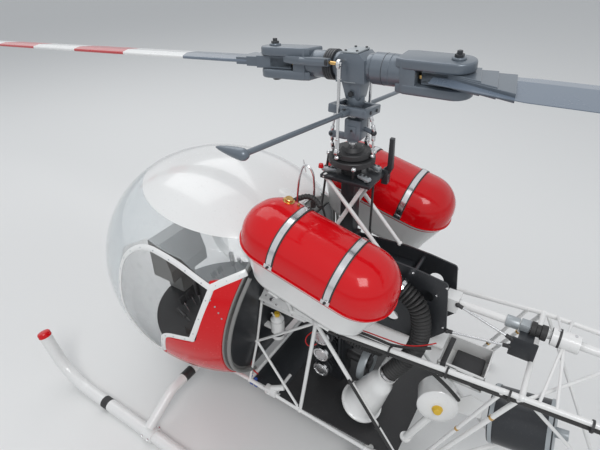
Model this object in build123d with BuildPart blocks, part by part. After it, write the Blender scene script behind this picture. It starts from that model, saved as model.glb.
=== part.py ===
"""Quarter-scale model of an open-frame light helicopter, standing on its skids.

All sizes are in millimetres. +X points aft, +Y to starboard and +Z up. The origin is on the
ground, under the main rotor mast.
"""
import math
import os

from build123d import *

os.makedirs("parts", exist_ok=True)

PORT, STARBOARD = -1, 1
SIDES = (PORT, STARBOARD)

# Skids and cross tubes
SKID_HALF_TREAD = 267.0
SKID_RADIUS = 12.5
SKID_REAR_X = 245.0
SKID_TIP_X = -590.0
SKID_TIP_Z = 132.0
SKID_BEND_X = -500.0
SKID_BEND_RADIUS = 75.0
CROSS_TUBE_RADIUS = 10.0
CROSS_TUBE_Z = 70.0
CROSS_TUBE_SHOULDER_Y = 196.0
CROSS_TUBE_BEND_RADIUS = 55.0
CROSS_FRONT_X = -288.0
CROSS_REAR_X = 105.0
CLAMP_WALL = 3.0
CLAMP_LENGTH = 26.0

# Tubular frame
LONGERON_RADIUS = 4.0
BRACE_RADIUS = 2.5
UPPER_HALF_WIDTH = 90.0
LOWER_HALF_WIDTH = 112.0
JOINT_X = 300.0
JOINT_Z = 341.0
TRAY_Z = 316.0
LOWER_FRONT_Z = 106.0
LOWER_REAR_Z = 85.2
BOOM_END_X = 1600.0
BOOM_END_Z = 364.0
BOOM_END_HALF_WIDTH = 14.0
BOOM_KEEL_START_Z = 112.0
BOOM_KEEL_END_Z = 322.0
BOOM_BAYS = 9

# Cabin shell, a body of revolution about a fore-and-aft axis
BUBBLE_X = -265.0
BUBBLE_Z = 297.0
BUBBLE_HALF_LENGTH = 258.0
BUBBLE_RADIUS = 223.0
BUBBLE_WALL = 2.0
PANEL_PROUD = 1.0
FLOOR_Z = 118.0
FLOOR_THICKNESS = 5.0
ROOF_EDGE_Z = 452.0
ROOF_EDGE_X = -139.0
ROOF_RISE_DEG = 7.0
FIREWALL_FOOT_X = -157.0
FIREWALL_TILT_DEG = 9.6
FIREWALL_THICKNESS = 4.0
FRAME_BAND = 6.0

# Fuel tanks
TANK_X = 15.0
TANK_Y = 160.0
TANK_Z = 500.0
TANK_RADIUS = 68.0
TANK_LENGTH = 232.0
TANK_DOME = 52.0
TANK_TILT_DEG = 9.0
STRAP_WIDTH = 9.0
STRAP_THICKNESS = 1.2
STRAP_SPREAD = 46.0

# Mast, tower and main rotor
MAST_RADIUS = 6.0
RUNNING_GAP = 0.3
TOWER_BOTTOM_Z = 360.0
TOWER_TOP_Z = 552.0
MAST_FOOT_Z = 480.0
TOWER_WIDTH = 34.0
TOWER_DEPTH = 26.0
PLATE_HALF_GAP = 23.5
PLATE_THICKNESS = 3.0
SWASH_Z = 585.0
SWASH_RADIUS = 34.0
SWASH_THICKNESS = 7.0
HUB_Z = 703.0
HUB_WIDTH = 34.0
HUB_HEIGHT = 34.0
ROTOR_RADIUS = 1415.0
ROTOR_AZIMUTH_DEG = -2.3
ROTOR_TILT_DEG = 2.5
BLADE_DROOP_DEG = 1.4
BLADE_CHORD = 68.0
BLADE_THICKNESS = 8.6
BLADE_PITCH_DEG = 4.5
BLADE_ROOT_R = 108.0
BLADE_FULL_CHORD_R = 215.0
BLADE_BOLT_R = 135.0
GRIP_WIDTH = 46.0
GRIP_HEIGHT = 26.0
BAR_Z = 645.0
BAR_RADIUS = 3.2
BAR_HALF_SPAN = 272.0
BAR_TILT_DEG = 5.2

# Engine bay
DECK_X = 40.0
DECK_Z = 101.0
DECK_LENGTH = 235.0
DECK_THICKNESS = 3.0
ENGINE_X = -16.0
ENGINE_LENGTH = 52.0
ENGINE_WIDTH = 44.0
ENGINE_TOP_Z = 279.0
CYLINDER_Z = (162.0, 204.0, 246.0)
CYLINDER_RADIUS = 15.0
CYLINDER_SPAN = 116.0
FILTER_FOOT = (70.0, -58.0, 128.0)
FILTER_TOP = (112.0, -58.0, 232.0)
FILTER_RADIUS = 34.0
HOSE_RADIUS = 15.0
FAN_Z = 165.0
FAN_RADIUS = 37.0
MUFFLER_X = 320.0
MUFFLER_Z = 190.0
MUFFLER_RADIUS = 46.0

# Tail drive and tail rotor
SHAFT_Z = 380.0
SHAFT_RADIUS = 6.0
SHAFT_FRONT_X = 172.0
BEARING_RADIUS = 13.0
BEARING_LENGTH = 34.0
TAIL_ROTOR_X = 1687.0
TAIL_ROTOR_Z = 388.0
TAIL_ROTOR_Y = 62.0
TAIL_ROTOR_RADIUS = 217.0
TAIL_BLADE_CHORD = 29.0
TAIL_BLADE_THICKNESS = 4.0


def bar(start, end, radius):
    """Round bar from one point to another, joined to the part being built."""
    span = Vector(*end) - Vector(*start)
    with BuildSketch(Plane(origin=start, z_dir=span)) as section:
        Circle(radius)
    extrude(to_extrude=section.sketch, amount=span.length)


def bent_tube(points, bend_radius, radius):
    """Round tube along straight runs joined by arcs."""
    with BuildLine() as route:
        FilletPolyline(*points, radius=bend_radius)
    wire = route.wire()
    with BuildSketch(Plane(origin=wire @ 0, z_dir=wire % 0)) as section:
        Circle(radius)
    sweep(sections=section.sketch, path=wire)


def block(center, size):
    """Rectangular block about a centre point."""
    with Locations(center):
        Box(*size)


def disc(center, direction, radius, length):
    """Round disc whose middle is at the centre point."""
    middle = Plane(origin=center, z_dir=direction)
    with BuildSketch(middle.offset(-length / 2)) as section:
        Circle(radius)
    extrude(to_extrude=section.sketch, amount=length)


def save(part, node):
    """Name the finished piece and write its STEP file."""
    part.label = node
    export_step(part, f"parts/{node}.step")


def between(a, b, t):
    """Point a share of the way from one point to another."""
    return tuple(p + (q - p) * t for p, q in zip(a, b))


# Skids
def skid(side):
    y = side * SKID_HALF_TREAD
    with BuildPart() as tube:
        points = [
            (SKID_REAR_X, y, SKID_RADIUS),
            (SKID_BEND_X, y, SKID_RADIUS),
            ((SKID_BEND_X + SKID_TIP_X * 2) / 3, y, SKID_RADIUS + 34.0),
            (SKID_TIP_X, y, SKID_TIP_Z),
        ]
        bent_tube(points, SKID_BEND_RADIUS, SKID_RADIUS)
    return tube.part


save(skid(PORT), "skid_left")
save(skid(STARBOARD), "skid_right")


# Cross tubes, each with a saddle clamp round both skids
def cross_tube(x):
    foot_z = SKID_RADIUS * 2 + CLAMP_WALL + CROSS_TUBE_RADIUS * 0.3
    points = [
        (x, -SKID_HALF_TREAD, foot_z),
        (x, -CROSS_TUBE_SHOULDER_Y, CROSS_TUBE_Z),
        (x, CROSS_TUBE_SHOULDER_Y, CROSS_TUBE_Z),
        (x, SKID_HALF_TREAD, foot_z),
    ]
    with BuildPart() as tube:
        bent_tube(points, CROSS_TUBE_BEND_RADIUS, CROSS_TUBE_RADIUS)
        for side in SIDES:
            center = (x, side * SKID_HALF_TREAD, SKID_RADIUS)
            disc(center, (1, 0, 0), SKID_RADIUS + CLAMP_WALL, CLAMP_LENGTH)
        for side in SIDES:
            center = (x, side * SKID_HALF_TREAD, SKID_RADIUS)
            with BuildSketch(Plane(origin=center, z_dir=(1, 0, 0)).offset(-CLAMP_LENGTH)) as bore:
                Circle(SKID_RADIUS)
            extrude(to_extrude=bore.sketch, amount=CLAMP_LENGTH * 2, mode=Mode.SUBTRACT)
        split(bisect_by=Plane.XY.offset(SKID_RADIUS * 0.5), keep=Keep.TOP)
    return tube.part


save(cross_tube(CROSS_FRONT_X), "cross_tube_front")
save(cross_tube(CROSS_REAR_X), "cross_tube_rear")

def firewall_x(z):
    """Where the firewall's rear face stands at a height."""
    return FIREWALL_FOOT_X + (z - FLOOR_Z) * math.tan(math.radians(FIREWALL_TILT_DEG))


# Frame nodes of one side: x, half width, z
LOWER_NOSE = (CROSS_FRONT_X - 14.0, LOWER_HALF_WIDTH, LOWER_FRONT_Z)
LOWER_CABIN = (-148.0, LOWER_HALF_WIDTH, LOWER_FRONT_Z - 3.0)
LOWER_MIDDLE = (-30.0, LOWER_HALF_WIDTH, 93.0)
LOWER_AFT = (CROSS_REAR_X, LOWER_HALF_WIDTH, LOWER_REAR_Z)
KEEL_NODE = (JOINT_X, 0.0, BOOM_KEEL_START_Z)
UPPER_FRONT = (firewall_x(TRAY_Z + LONGERON_RADIUS) + 0.2, UPPER_HALF_WIDTH, TRAY_Z)
UPPER_MIDDLE = (-8.0, UPPER_HALF_WIDTH, TRAY_Z - 2.0)
UPPER_JOINT = (JOINT_X, UPPER_HALF_WIDTH, JOINT_Z)
CABIN_BACK = (firewall_x(200.0) + BRACE_RADIUS * 2, UPPER_HALF_WIDTH, 198.0)
DIAGONAL_FOOT = (168.0, LOWER_HALF_WIDTH - 10.0, LOWER_REAR_Z + 6.0)

# Tubes of one side of the frame: start, end, radius
SIDE_TUBES = (
    (LOWER_NOSE, LOWER_CABIN, LONGERON_RADIUS),
    (LOWER_CABIN, LOWER_MIDDLE, LONGERON_RADIUS),
    (LOWER_MIDDLE, LOWER_AFT, LONGERON_RADIUS),
    (UPPER_FRONT, UPPER_MIDDLE, LONGERON_RADIUS),
    (UPPER_MIDDLE, UPPER_JOINT, LONGERON_RADIUS),
    (LOWER_AFT, KEEL_NODE, LONGERON_RADIUS),
    (UPPER_MIDDLE, CABIN_BACK, BRACE_RADIUS),
    (UPPER_MIDDLE, LOWER_MIDDLE, BRACE_RADIUS + 1.0),
    (UPPER_MIDDLE, DIAGONAL_FOOT, BRACE_RADIUS + 1.0),
    (CABIN_BACK, LOWER_MIDDLE, BRACE_RADIUS),
    (CABIN_BACK, LOWER_CABIN, BRACE_RADIUS),
    (between(UPPER_FRONT, UPPER_MIDDLE, 0.05), CABIN_BACK, BRACE_RADIUS),
    (UPPER_JOINT, LOWER_AFT, LONGERON_RADIUS),
)


def on_side(point, side):
    x, half_width, z = point
    return (x, side * half_width, z)


def frame_side(side):
    with BuildPart() as frame:
        for start, end, radius in SIDE_TUBES:
            bar(on_side(start, side), on_side(end, side), radius)
        for point in (LOWER_CABIN, LOWER_MIDDLE, LOWER_AFT, UPPER_MIDDLE):
            with Locations(on_side(point, side)):
                Sphere(LONGERON_RADIUS + 1.0)
        split(bisect_by=Plane.XZ, keep=Keep.TOP if side == PORT else Keep.BOTTOM)
    return frame.part


frame_sides = {side: frame_side(side) for side in SIDES}
save(frame_sides[PORT], "frame_side_left")
save(frame_sides[STARBOARD], "frame_side_right")

# Tubes across the frame: x, half width, z of each end, radius
CROSS_MEMBERS = (
    (between(UPPER_FRONT, UPPER_MIDDLE, 0.08), BRACE_RADIUS),
    (UPPER_MIDDLE, LONGERON_RADIUS),
    (LOWER_CABIN, LONGERON_RADIUS),
    (LOWER_MIDDLE, BRACE_RADIUS),
    (LOWER_AFT, LONGERON_RADIUS),
    (UPPER_JOINT, LONGERON_RADIUS),
)
with BuildPart() as cross_members:
    for (x, half_width, z), radius in CROSS_MEMBERS:
        inner = half_width - LONGERON_RADIUS / 2
        bar((x, -inner, z), (x, inner, z), radius)
    for frame in frame_sides.values():
        add(frame, mode=Mode.SUBTRACT)
save(cross_members.part, "frame_cross_members")


# Tail boom: two upper longerons and a keel tube, braced in equal bays
def boom_station(t):
    """Half width and height of the upper tubes and height of the keel at a share of the length."""
    x = JOINT_X + (BOOM_END_X - JOINT_X) * t
    half_width = UPPER_HALF_WIDTH + (BOOM_END_HALF_WIDTH - UPPER_HALF_WIDTH) * t
    upper_z = JOINT_Z + (BOOM_END_Z - JOINT_Z) * t
    keel_z = BOOM_KEEL_START_Z + (BOOM_KEEL_END_Z - BOOM_KEEL_START_Z) * t
    return x, half_width, upper_z, keel_z


with BuildPart() as tail_boom:
    start = boom_station(0.0)
    finish = boom_station(1.0)
    for side in SIDES:
        bar((start[0], side * start[1], start[2]), (finish[0], side * finish[1], finish[2]), LONGERON_RADIUS)
    bar((start[0], 0, start[3]), (finish[0], 0, finish[3]), LONGERON_RADIUS)
    for bay in range(1, BOOM_BAYS + 1):
        x0, half0, upper0, keel0 = boom_station((bay - 1 + 0.04) / BOOM_BAYS)
        x1, half1, upper1, keel1 = boom_station(bay / BOOM_BAYS)
        bar((x1, -half1, upper1), (x1, half1, upper1), BRACE_RADIUS)
        for side in SIDES:
            bar((x1, side * half1, upper1), (x1, 0, keel1), BRACE_RADIUS)
            bar((x0, side * half0, upper0), (x1, 0, keel1), BRACE_RADIUS)
        near = PORT if bay % 2 else STARBOARD
        bar((x0, near * half0, upper0), (x1, -near * half1, upper1), BRACE_RADIUS)
    for frame in frame_sides.values():
        add(frame, mode=Mode.SUBTRACT)
    add(cross_members.part, mode=Mode.SUBTRACT)
save(tail_boom.part, "tail_boom")


# Cabin shell
def ellipsoid(grow):
    """Solid of revolution that the cabin panels are cut from."""
    with BuildSketch(Plane.XZ) as half:
        with BuildLine():
            center = (BUBBLE_X, BUBBLE_Z)
            EllipticalCenterArc(
                center,
                BUBBLE_HALF_LENGTH + grow,
                BUBBLE_RADIUS + grow,
                arc_size=180,
            )
            Line(
                (BUBBLE_X - BUBBLE_HALF_LENGTH - grow, BUBBLE_Z),
                (BUBBLE_X + BUBBLE_HALF_LENGTH + grow, BUBBLE_Z),
            )
        make_face()
    revolve(profiles=half.sketch, axis=Axis((BUBBLE_X, 0, BUBBLE_Z), (1, 0, 0)))


def shell(outer, inner):
    """Shell between two grown or shrunk ellipsoids, open at the floor."""
    with BuildPart() as hull:
        ellipsoid(outer)
    with BuildPart() as hollow:
        ellipsoid(inner)
    with BuildPart() as skin:
        add(hull.part)
        add(hollow.part, mode=Mode.SUBTRACT)
        split(bisect_by=Plane.XY.offset(FLOOR_Z), keep=Keep.TOP)
    return skin.part


FIREWALL_NORMAL = (
    math.cos(math.radians(FIREWALL_TILT_DEG)),
    0,
    -math.sin(math.radians(FIREWALL_TILT_DEG)),
)
FIREWALL_PLANE = Plane(
    origin=(FIREWALL_FOOT_X, 0, FLOOR_Z), x_dir=(0, 1, 0), z_dir=FIREWALL_NORMAL
)
ROOF_PLANE = Plane(
    origin=(ROOF_EDGE_X, 0, ROOF_EDGE_Z),
    z_dir=(math.sin(math.radians(ROOF_RISE_DEG)), 0, math.cos(math.radians(ROOF_RISE_DEG))),
)

# Doorway outline in side view: x, z
DOORWAY = (
    (-334.0, 300.0),
    (-294.0, 224.0),
    (-258.0, 214.0),
    (-228.0, 288.0),
    (-174.0, 290.0),
    (-146.0, 388.0),
    (-204.0, 418.0),
    (-278.0, 430.0),
    (-326.0, 404.0),
)
DOORWAY_CORNER = 10.0

# Side panel outline in side view, a boot with its toe forward: x, z
SIDE_PANEL = (
    (-290.0, FLOOR_Z - 10.0),
    (-266.0, 206.0),
    (-228.0, 294.0),
    (-178.0, 296.0),
    (-150.0, 400.0),
    (-60.0, 410.0),
    (-60.0, FLOOR_Z - 10.0),
)


def side_outline(points, corner, grow):
    """Closed outline in side view with rounded corners."""
    with BuildSketch(Plane.XZ) as outline:
        with BuildLine():
            Polyline(*points, close=True)
        make_face()
        if corner:
            fillet(outline.vertices(), corner)
        if grow:
            offset(amount=grow)
    return outline.sketch


def doorway_cut(grow):
    """Cut the doorways, grown by a band, out of both sides."""
    outline = side_outline(DOORWAY, DOORWAY_CORNER, grow)
    extrude(to_extrude=outline, amount=BUBBLE_RADIUS * 2, both=True, mode=Mode.SUBTRACT)


with BuildPart() as bubble:
    add(shell(0.0, -BUBBLE_WALL))
    split(bisect_by=FIREWALL_PLANE, keep=Keep.BOTTOM)
    split(bisect_by=ROOF_PLANE, keep=Keep.BOTTOM)
    doorway_cut(FRAME_BAND)
    panel = side_outline(SIDE_PANEL, 0, 0)
    extrude(to_extrude=panel, amount=BUBBLE_RADIUS * 2, both=True, mode=Mode.SUBTRACT)
save(bubble.part, "bubble_canopy")

with BuildPart() as roof:
    add(shell(0.0, -BUBBLE_WALL))
    split(bisect_by=ROOF_PLANE, keep=Keep.TOP)
    split(bisect_by=Plane.YZ.offset(FIREWALL_FOOT_X + 62.0), keep=Keep.BOTTOM)
save(roof.part, "roof_shell")


def side_panel(side):
    with BuildPart() as panel:
        add(shell(PANEL_PROUD, -BUBBLE_WALL))
        split(bisect_by=FIREWALL_PLANE, keep=Keep.BOTTOM)
        split(bisect_by=Plane.XZ, keep=Keep.TOP if side == PORT else Keep.BOTTOM)
        outline = side_outline(SIDE_PANEL, 0, 0)
        extrude(to_extrude=outline, amount=BUBBLE_RADIUS * 2, both=True, mode=Mode.INTERSECT)
        doorway_cut(FRAME_BAND)
    return panel.part


save(side_panel(PORT), "side_panel_left")
save(side_panel(STARBOARD), "side_panel_right")

with BuildPart() as door_frames:
    add(shell(PANEL_PROUD, -BUBBLE_WALL - PANEL_PROUD))
    band = side_outline(DOORWAY, DOORWAY_CORNER, FRAME_BAND)
    extrude(to_extrude=band, amount=BUBBLE_RADIUS * 2, both=True, mode=Mode.INTERSECT)
    doorway_cut(0)
    split(bisect_by=FIREWALL_PLANE, keep=Keep.BOTTOM)
    split(bisect_by=ROOF_PLANE, keep=Keep.BOTTOM)
save(door_frames.part, "doorway_frames")

# Floor, firewall, seat and console
with BuildPart() as floor:
    ellipsoid(-BUBBLE_WALL - PANEL_PROUD)
    split(bisect_by=Plane.XY.offset(FLOOR_Z), keep=Keep.TOP)
    split(bisect_by=Plane.XY.offset(FLOOR_Z + FLOOR_THICKNESS), keep=Keep.BOTTOM)
    split(bisect_by=FIREWALL_PLANE.offset(-FIREWALL_THICKNESS), keep=Keep.BOTTOM)
save(floor.part, "cabin_floor")

with BuildPart() as firewall:
    ellipsoid(-BUBBLE_WALL - PANEL_PROUD)
    split(bisect_by=Plane.XY.offset(FLOOR_Z), keep=Keep.TOP)
    split(bisect_by=ROOF_PLANE, keep=Keep.BOTTOM)
    split(bisect_by=FIREWALL_PLANE, keep=Keep.BOTTOM)
    split(bisect_by=FIREWALL_PLANE.offset(-FIREWALL_THICKNESS), keep=Keep.TOP)
save(firewall.part, "firewall")

SEAT_Z = FLOOR_Z + FLOOR_THICKNESS
with BuildPart() as cabin_room:
    ellipsoid(-BUBBLE_WALL - PANEL_PROUD - RUNNING_GAP)
SEAT_HEIGHT = 62.0
SEAT_WIDTH = 300.0
SEAT_DEPTH = 105.0
with BuildPart() as seat:
    back_plane = FIREWALL_PLANE.offset(-FIREWALL_THICKNESS - 0.3)
    front_x = FIREWALL_FOOT_X - SEAT_DEPTH
    block((front_x + SEAT_DEPTH, 0, SEAT_Z + SEAT_HEIGHT / 2), (SEAT_DEPTH * 2, SEAT_WIDTH, SEAT_HEIGHT))
    block((FIREWALL_FOOT_X, 0, SEAT_Z + SEAT_HEIGHT + 60), (60, SEAT_WIDTH, 120))
    split(bisect_by=back_plane, keep=Keep.BOTTOM)
    add(cabin_room.part, mode=Mode.INTERSECT)
save(seat.part, "seat_bench")

with BuildPart() as console:
    block((-430, 0, SEAT_Z + 40), (46, 44, 80))
    with BuildSketch(Plane.XZ) as side_view:
        with BuildLine():
            Polyline((-455, 203), (-395, 203), (-395, 232), (-415, 300), (-450, 300), (-455, 203))
        make_face()
    extrude(to_extrude=side_view.sketch, amount=55, both=True)
    add(cabin_room.part, mode=Mode.INTERSECT)
save(console.part, "instrument_console")

# Fuel tanks
TANK_DIRECTION = Vector(
    math.cos(math.radians(TANK_TILT_DEG)), 0, -math.sin(math.radians(TANK_TILT_DEG))
)


def tank_plane(side):
    """Plane whose X runs along the tank's axis and whose Y runs outward from it."""
    center = (TANK_X, side * TANK_Y, TANK_Z)
    return Plane(origin=center, x_dir=TANK_DIRECTION, z_dir=(0, -1, 0))


def fuel_tank(side):
    axis = tank_plane(side)
    across = Plane(origin=axis.origin, z_dir=axis.x_dir)
    with BuildPart() as tank:
        with BuildSketch(across.offset(-TANK_LENGTH / 2)) as section:
            Circle(TANK_RADIUS)
        extrude(to_extrude=section.sketch, amount=TANK_LENGTH)
        fillet(tank.edges().filter_by(GeomType.CIRCLE), TANK_DOME)
    return tank.part


save(fuel_tank(PORT), "fuel_tank_left")
save(fuel_tank(STARBOARD), "fuel_tank_right")

with BuildPart() as straps:
    for side in SIDES:
        for along in (-STRAP_SPREAD, STRAP_SPREAD):
            plane = tank_plane(side)
            center = plane.origin + plane.x_dir * along
            across = Plane(origin=center, z_dir=plane.x_dir).offset(-STRAP_WIDTH / 2)
            with BuildSketch(across) as ring:
                Circle(TANK_RADIUS + STRAP_THICKNESS)
                Circle(TANK_RADIUS, mode=Mode.SUBTRACT)
            extrude(to_extrude=ring.sketch, amount=STRAP_WIDTH)
save(straps.part, "tank_straps")

# Tank cradles: a saddle plate under each strap, on posts from the frame
with BuildPart() as cradles:
    for side in SIDES:
        for along in (-STRAP_SPREAD, STRAP_SPREAD):
            plane = tank_plane(side)
            center = plane.origin + plane.x_dir * along
            top = center - Vector(0, 0, TANK_RADIUS + STRAP_THICKNESS)
            foot = (top.X, side * UPPER_HALF_WIDTH, TRAY_Z + 2)
            block((top.X, top.Y, top.Z - 1.5), (18, 46, 5))
            bar(foot, (top.X, top.Y, top.Z - 2), BRACE_RADIUS + 1)
    for side in SIDES:
        plane = tank_plane(side)
        with BuildSketch(Plane(origin=plane.origin, z_dir=plane.x_dir).offset(-TANK_LENGTH)) as room:
            Circle(TANK_RADIUS + STRAP_THICKNESS)
        extrude(to_extrude=room.sketch, amount=TANK_LENGTH * 2, mode=Mode.SUBTRACT)
    for frame in frame_sides.values():
        add(frame, mode=Mode.SUBTRACT)
save(cradles.part, "tank_cradles")

# Side plates of the gear case, cut with lightening holes: x, z
SIDE_PLATE = (
    (-40.0, 430.0),
    (90.0, 436.0),
    (130.0, 433.0),
    (171.0, 427.0),
    (182.0, 338.0),
    (150.0, 300.0),
    (-40.0, 300.0),
)
PLATE_HOLES = ((144.0, 392.0, 11.0), (152.0, 345.0, 6.0), (60.0, 380.0, 16.0), (95.0, 330.0, 11.0))


with BuildPart() as side_plates:
    for side in SIDES:
        face = Plane.XZ.offset(-side * PLATE_HALF_GAP - PLATE_THICKNESS / 2)
        with BuildSketch(face) as outline:
            with BuildLine():
                Polyline(*SIDE_PLATE, close=True)
            make_face()
            fillet(outline.vertices(), 6)
            for x, z, radius in PLATE_HOLES:
                with Locations((x, z)):
                    Circle(radius, mode=Mode.SUBTRACT)
        extrude(to_extrude=outline.sketch, amount=PLATE_THICKNESS)
    spacer = PLATE_HALF_GAP * 2
    for x, z in ((120.0, 425.0), (165.0, 360.0), (-25.0, 415.0), (-25.0, 315.0)):
        disc((x, 0, z), (0, 1, 0), 3.0, spacer)
    add(cross_members.part, mode=Mode.SUBTRACT)
save(side_plates.part, "side_plates")

# Mast tower and its struts
with BuildPart() as tower:
    block((0, 0, (TOWER_BOTTOM_Z + TOWER_TOP_Z) / 2), (TOWER_DEPTH, TOWER_WIDTH, TOWER_TOP_Z - TOWER_BOTTOM_Z))
    block((0, 0, TOWER_TOP_Z - 3), (40, 58, 6))
    with BuildSketch(Plane.XY.offset(MAST_FOOT_Z - RUNNING_GAP)) as bore:
        Circle(MAST_RADIUS + RUNNING_GAP)
    extrude(to_extrude=bore.sketch, amount=TOWER_TOP_Z, mode=Mode.SUBTRACT)
save(tower.part, "mast_tower")

TOWER_STRUTS = (
    ((-16.0, 24.0, 548.0), (75.0, 24.0, 436.0)),
    ((-14.0, 24.0, 546.0), (-40.0, 24.0, 428.0)),
)
with BuildPart() as struts:
    for side in SIDES:
        for top, foot in TOWER_STRUTS:
            bar(on_side(top, side), on_side(foot, side), BRACE_RADIUS + 1)
    add(tower.part, mode=Mode.SUBTRACT)
    add(side_plates.part, mode=Mode.SUBTRACT)
save(struts.part, "tower_struts")

# Swashplate: the lower ring stands still, the upper one turns with the mast
with BuildPart() as swash_lower:
    with Locations((0, 0, SWASH_Z - SWASH_THICKNESS / 2)):
        Cylinder(SWASH_RADIUS, SWASH_THICKNESS)
    bar((0, 0, TOWER_TOP_Z), (0, 0, SWASH_Z), 12.0)
    for angle in (30, 150, 270):
        reach = SWASH_RADIUS + 8
        tip = (reach * math.cos(math.radians(angle)), reach * math.sin(math.radians(angle)), SWASH_Z - 4)
        bar((0, 0, SWASH_Z - 4), tip, 3.0)
    with Locations((0, 0, SWASH_Z)):
        Cylinder(MAST_RADIUS + RUNNING_GAP, 120, mode=Mode.SUBTRACT)
save(swash_lower.part, "swashplate_lower")

with BuildPart() as swash_upper:
    with Locations((0, 0, SWASH_Z + RUNNING_GAP + SWASH_THICKNESS / 2)):
        Cylinder(SWASH_RADIUS - 8, SWASH_THICKNESS)
    for angle in (0, 90, 180, 270):
        reach = SWASH_RADIUS
        tip = (
            reach * math.cos(math.radians(angle)),
            reach * math.sin(math.radians(angle)),
            SWASH_Z + 4,
        )
        bar((0, 0, SWASH_Z + 4), tip, 2.5)
    with Locations((0, 0, SWASH_Z)):
        Cylinder(MAST_RADIUS, 120, mode=Mode.SUBTRACT)
save(swash_upper.part, "swashplate_upper")

# Mast
with BuildPart() as mast:
    bar((0, 0, MAST_FOOT_Z), (0, 0, HUB_Z - HUB_HEIGHT / 2), MAST_RADIUS)
save(mast.part, "mast_shaft")

# Washout block and its two levers
with BuildPart() as washout:
    block((0, 0, 621), (22, 26, 30))
    block((-16, 0, 624), (20, 6, 8))
    block((16, 0, 624), (20, 6, 8))
    with Locations((0, 0, 621)):
        Cylinder(MAST_RADIUS, 60, mode=Mode.SUBTRACT)
save(washout.part, "washout_block")

def turned_plane(height, azimuth_deg, tilt_deg):
    """Plane on the mast axis, its X at an azimuth and raised by a tilt."""
    azimuth, tilt = math.radians(azimuth_deg), math.radians(tilt_deg)
    ahead = Vector(math.cos(azimuth), math.sin(azimuth), 0)
    x_dir = ahead * math.cos(tilt) + Vector(0, 0, math.sin(tilt))
    z_dir = ahead * -math.sin(tilt) + Vector(0, 0, math.cos(tilt))
    return Plane(origin=(0, 0, height), x_dir=x_dir, z_dir=z_dir)


# Rotor head, its X along the aft blade; the seesaw is parked with that blade up
HEAD_PLANE = turned_plane(HUB_Z, ROTOR_AZIMUTH_DEG, ROTOR_TILT_DEG)


def blade_plane(side, radius):
    """Plane across a blade, its X up through the blade and its Y to the leading edge."""
    level = HEAD_PLANE.x_dir * side
    leading = HEAD_PLANE.y_dir * side
    along = level.rotate(Axis((0, 0, 0), leading), BLADE_DROOP_DEG)
    turned = leading.rotate(Axis((0, 0, 0), along), BLADE_PITCH_DEG)
    return Plane(origin=HEAD_PLANE.origin + along * radius, x_dir=turned.cross(along), z_dir=along)


def head_point(r, across, up):
    """Point given by its distance along the blades, across them and above the hub."""
    p = HEAD_PLANE.from_local_coords(Vector(r, across, up))
    return (p.X, p.Y, p.Z)


with BuildPart() as hub:
    with BuildSketch(HEAD_PLANE.offset(-HUB_HEIGHT / 2)) as base:
        RectangleRounded(HUB_WIDTH * 1.3, HUB_WIDTH, 4)
    extrude(to_extrude=base.sketch, amount=HUB_HEIGHT)
    bar((0, 0, HUB_Z - HUB_HEIGHT / 2 - 18), (0, 0, HUB_Z - HUB_HEIGHT / 2 + 3), 12)
    with BuildSketch(Plane.XY.offset(HUB_Z - HUB_HEIGHT / 2 - 20)) as socket:
        Circle(MAST_RADIUS)
    extrude(to_extrude=socket.sketch, amount=20, mode=Mode.SUBTRACT)
save(hub.part, "hub_block")

GRIP_START = HUB_WIDTH * 1.3 / 2
GRIP_END = BLADE_BOLT_R + 16
with BuildPart() as grips:
    for side in SIDES:
        start_r = GRIP_START + 0.3
        root, neck = blade_plane(side, start_r).origin, blade_plane(side, 76).origin
        bar(tuple(root), tuple(neck), GRIP_HEIGHT / 2 + 2)
        cross = blade_plane(side, (68 + GRIP_END) / 2)
        flat = Plane(origin=cross.origin, x_dir=cross.z_dir, z_dir=cross.x_dir)
        for up in (-1, 1):
            with BuildSketch(flat.offset(up * (BLADE_THICKNESS / 2 + 4.3) - 4)) as ear:
                RectangleRounded(GRIP_END - 68, GRIP_WIDTH, 12)
            extrude(to_extrude=ear.sketch, amount=8)
save(grips.part, "blade_grips")


def blade_section(plane, chord, thickness):
    """Aerofoil face about its quarter-chord point, its nose to the plane's +Y."""
    nose = chord * 0.3
    tail = nose - chord
    half = thickness / 2
    edge = thickness * 0.05
    tip = half * 0.6
    with BuildSketch(plane) as section:
        with BuildLine():
            ThreePointArc((-tip, nose - tip), (0, nose), (tip, nose - tip))
            Polyline((tip, nose - tip), (half, 0), (edge, tail), (-edge, tail), (-half, 0), (-tip, nose - tip))
        make_face()
    return section.sketch


def blade(side):
    """Blade with a narrow root plate and a full-chord outer part, set at its pitch."""
    stations = ((BLADE_ROOT_R, 0.6), (BLADE_FULL_CHORD_R, 1.0), (ROTOR_RADIUS, 1.0))
    sections = []
    for radius, share in stations:
        plane = blade_plane(side, radius)
        sections.append(blade_section(plane, BLADE_CHORD * share, BLADE_THICKNESS))
    with BuildPart() as piece:
        loft(sections=sections[:2])
        loft(sections=sections[1:])
    return piece.part


save(blade(STARBOARD), "rotor_blade_aft")
save(blade(PORT), "rotor_blade_forward")

# Stabiliser bar, square to the blades, its port end up
BAR_PLANE = turned_plane(BAR_Z, ROTOR_AZIMUTH_DEG - 90, BAR_TILT_DEG)
with BuildPart() as stabiliser_bar:
    for side in SIDES:
        inner, outer, weight = (
            tuple(BAR_PLANE.from_local_coords(Vector(side * r, 0, 0)))
            for r in (14, BAR_HALF_SPAN, BAR_HALF_SPAN - 20)
        )
        bar(inner, outer, BAR_RADIUS)
        with Locations(weight):
            Sphere(11)
    with BuildSketch(BAR_PLANE.offset(-6)) as yoke:
        RectangleRounded(34, 44, 8)
    extrude(to_extrude=yoke.sketch, amount=12)
    with Locations((0, 0, BAR_Z)):
        Cylinder(MAST_RADIUS, 40, mode=Mode.SUBTRACT)
save(stabiliser_bar.part, "stabiliser_bar")

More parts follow.
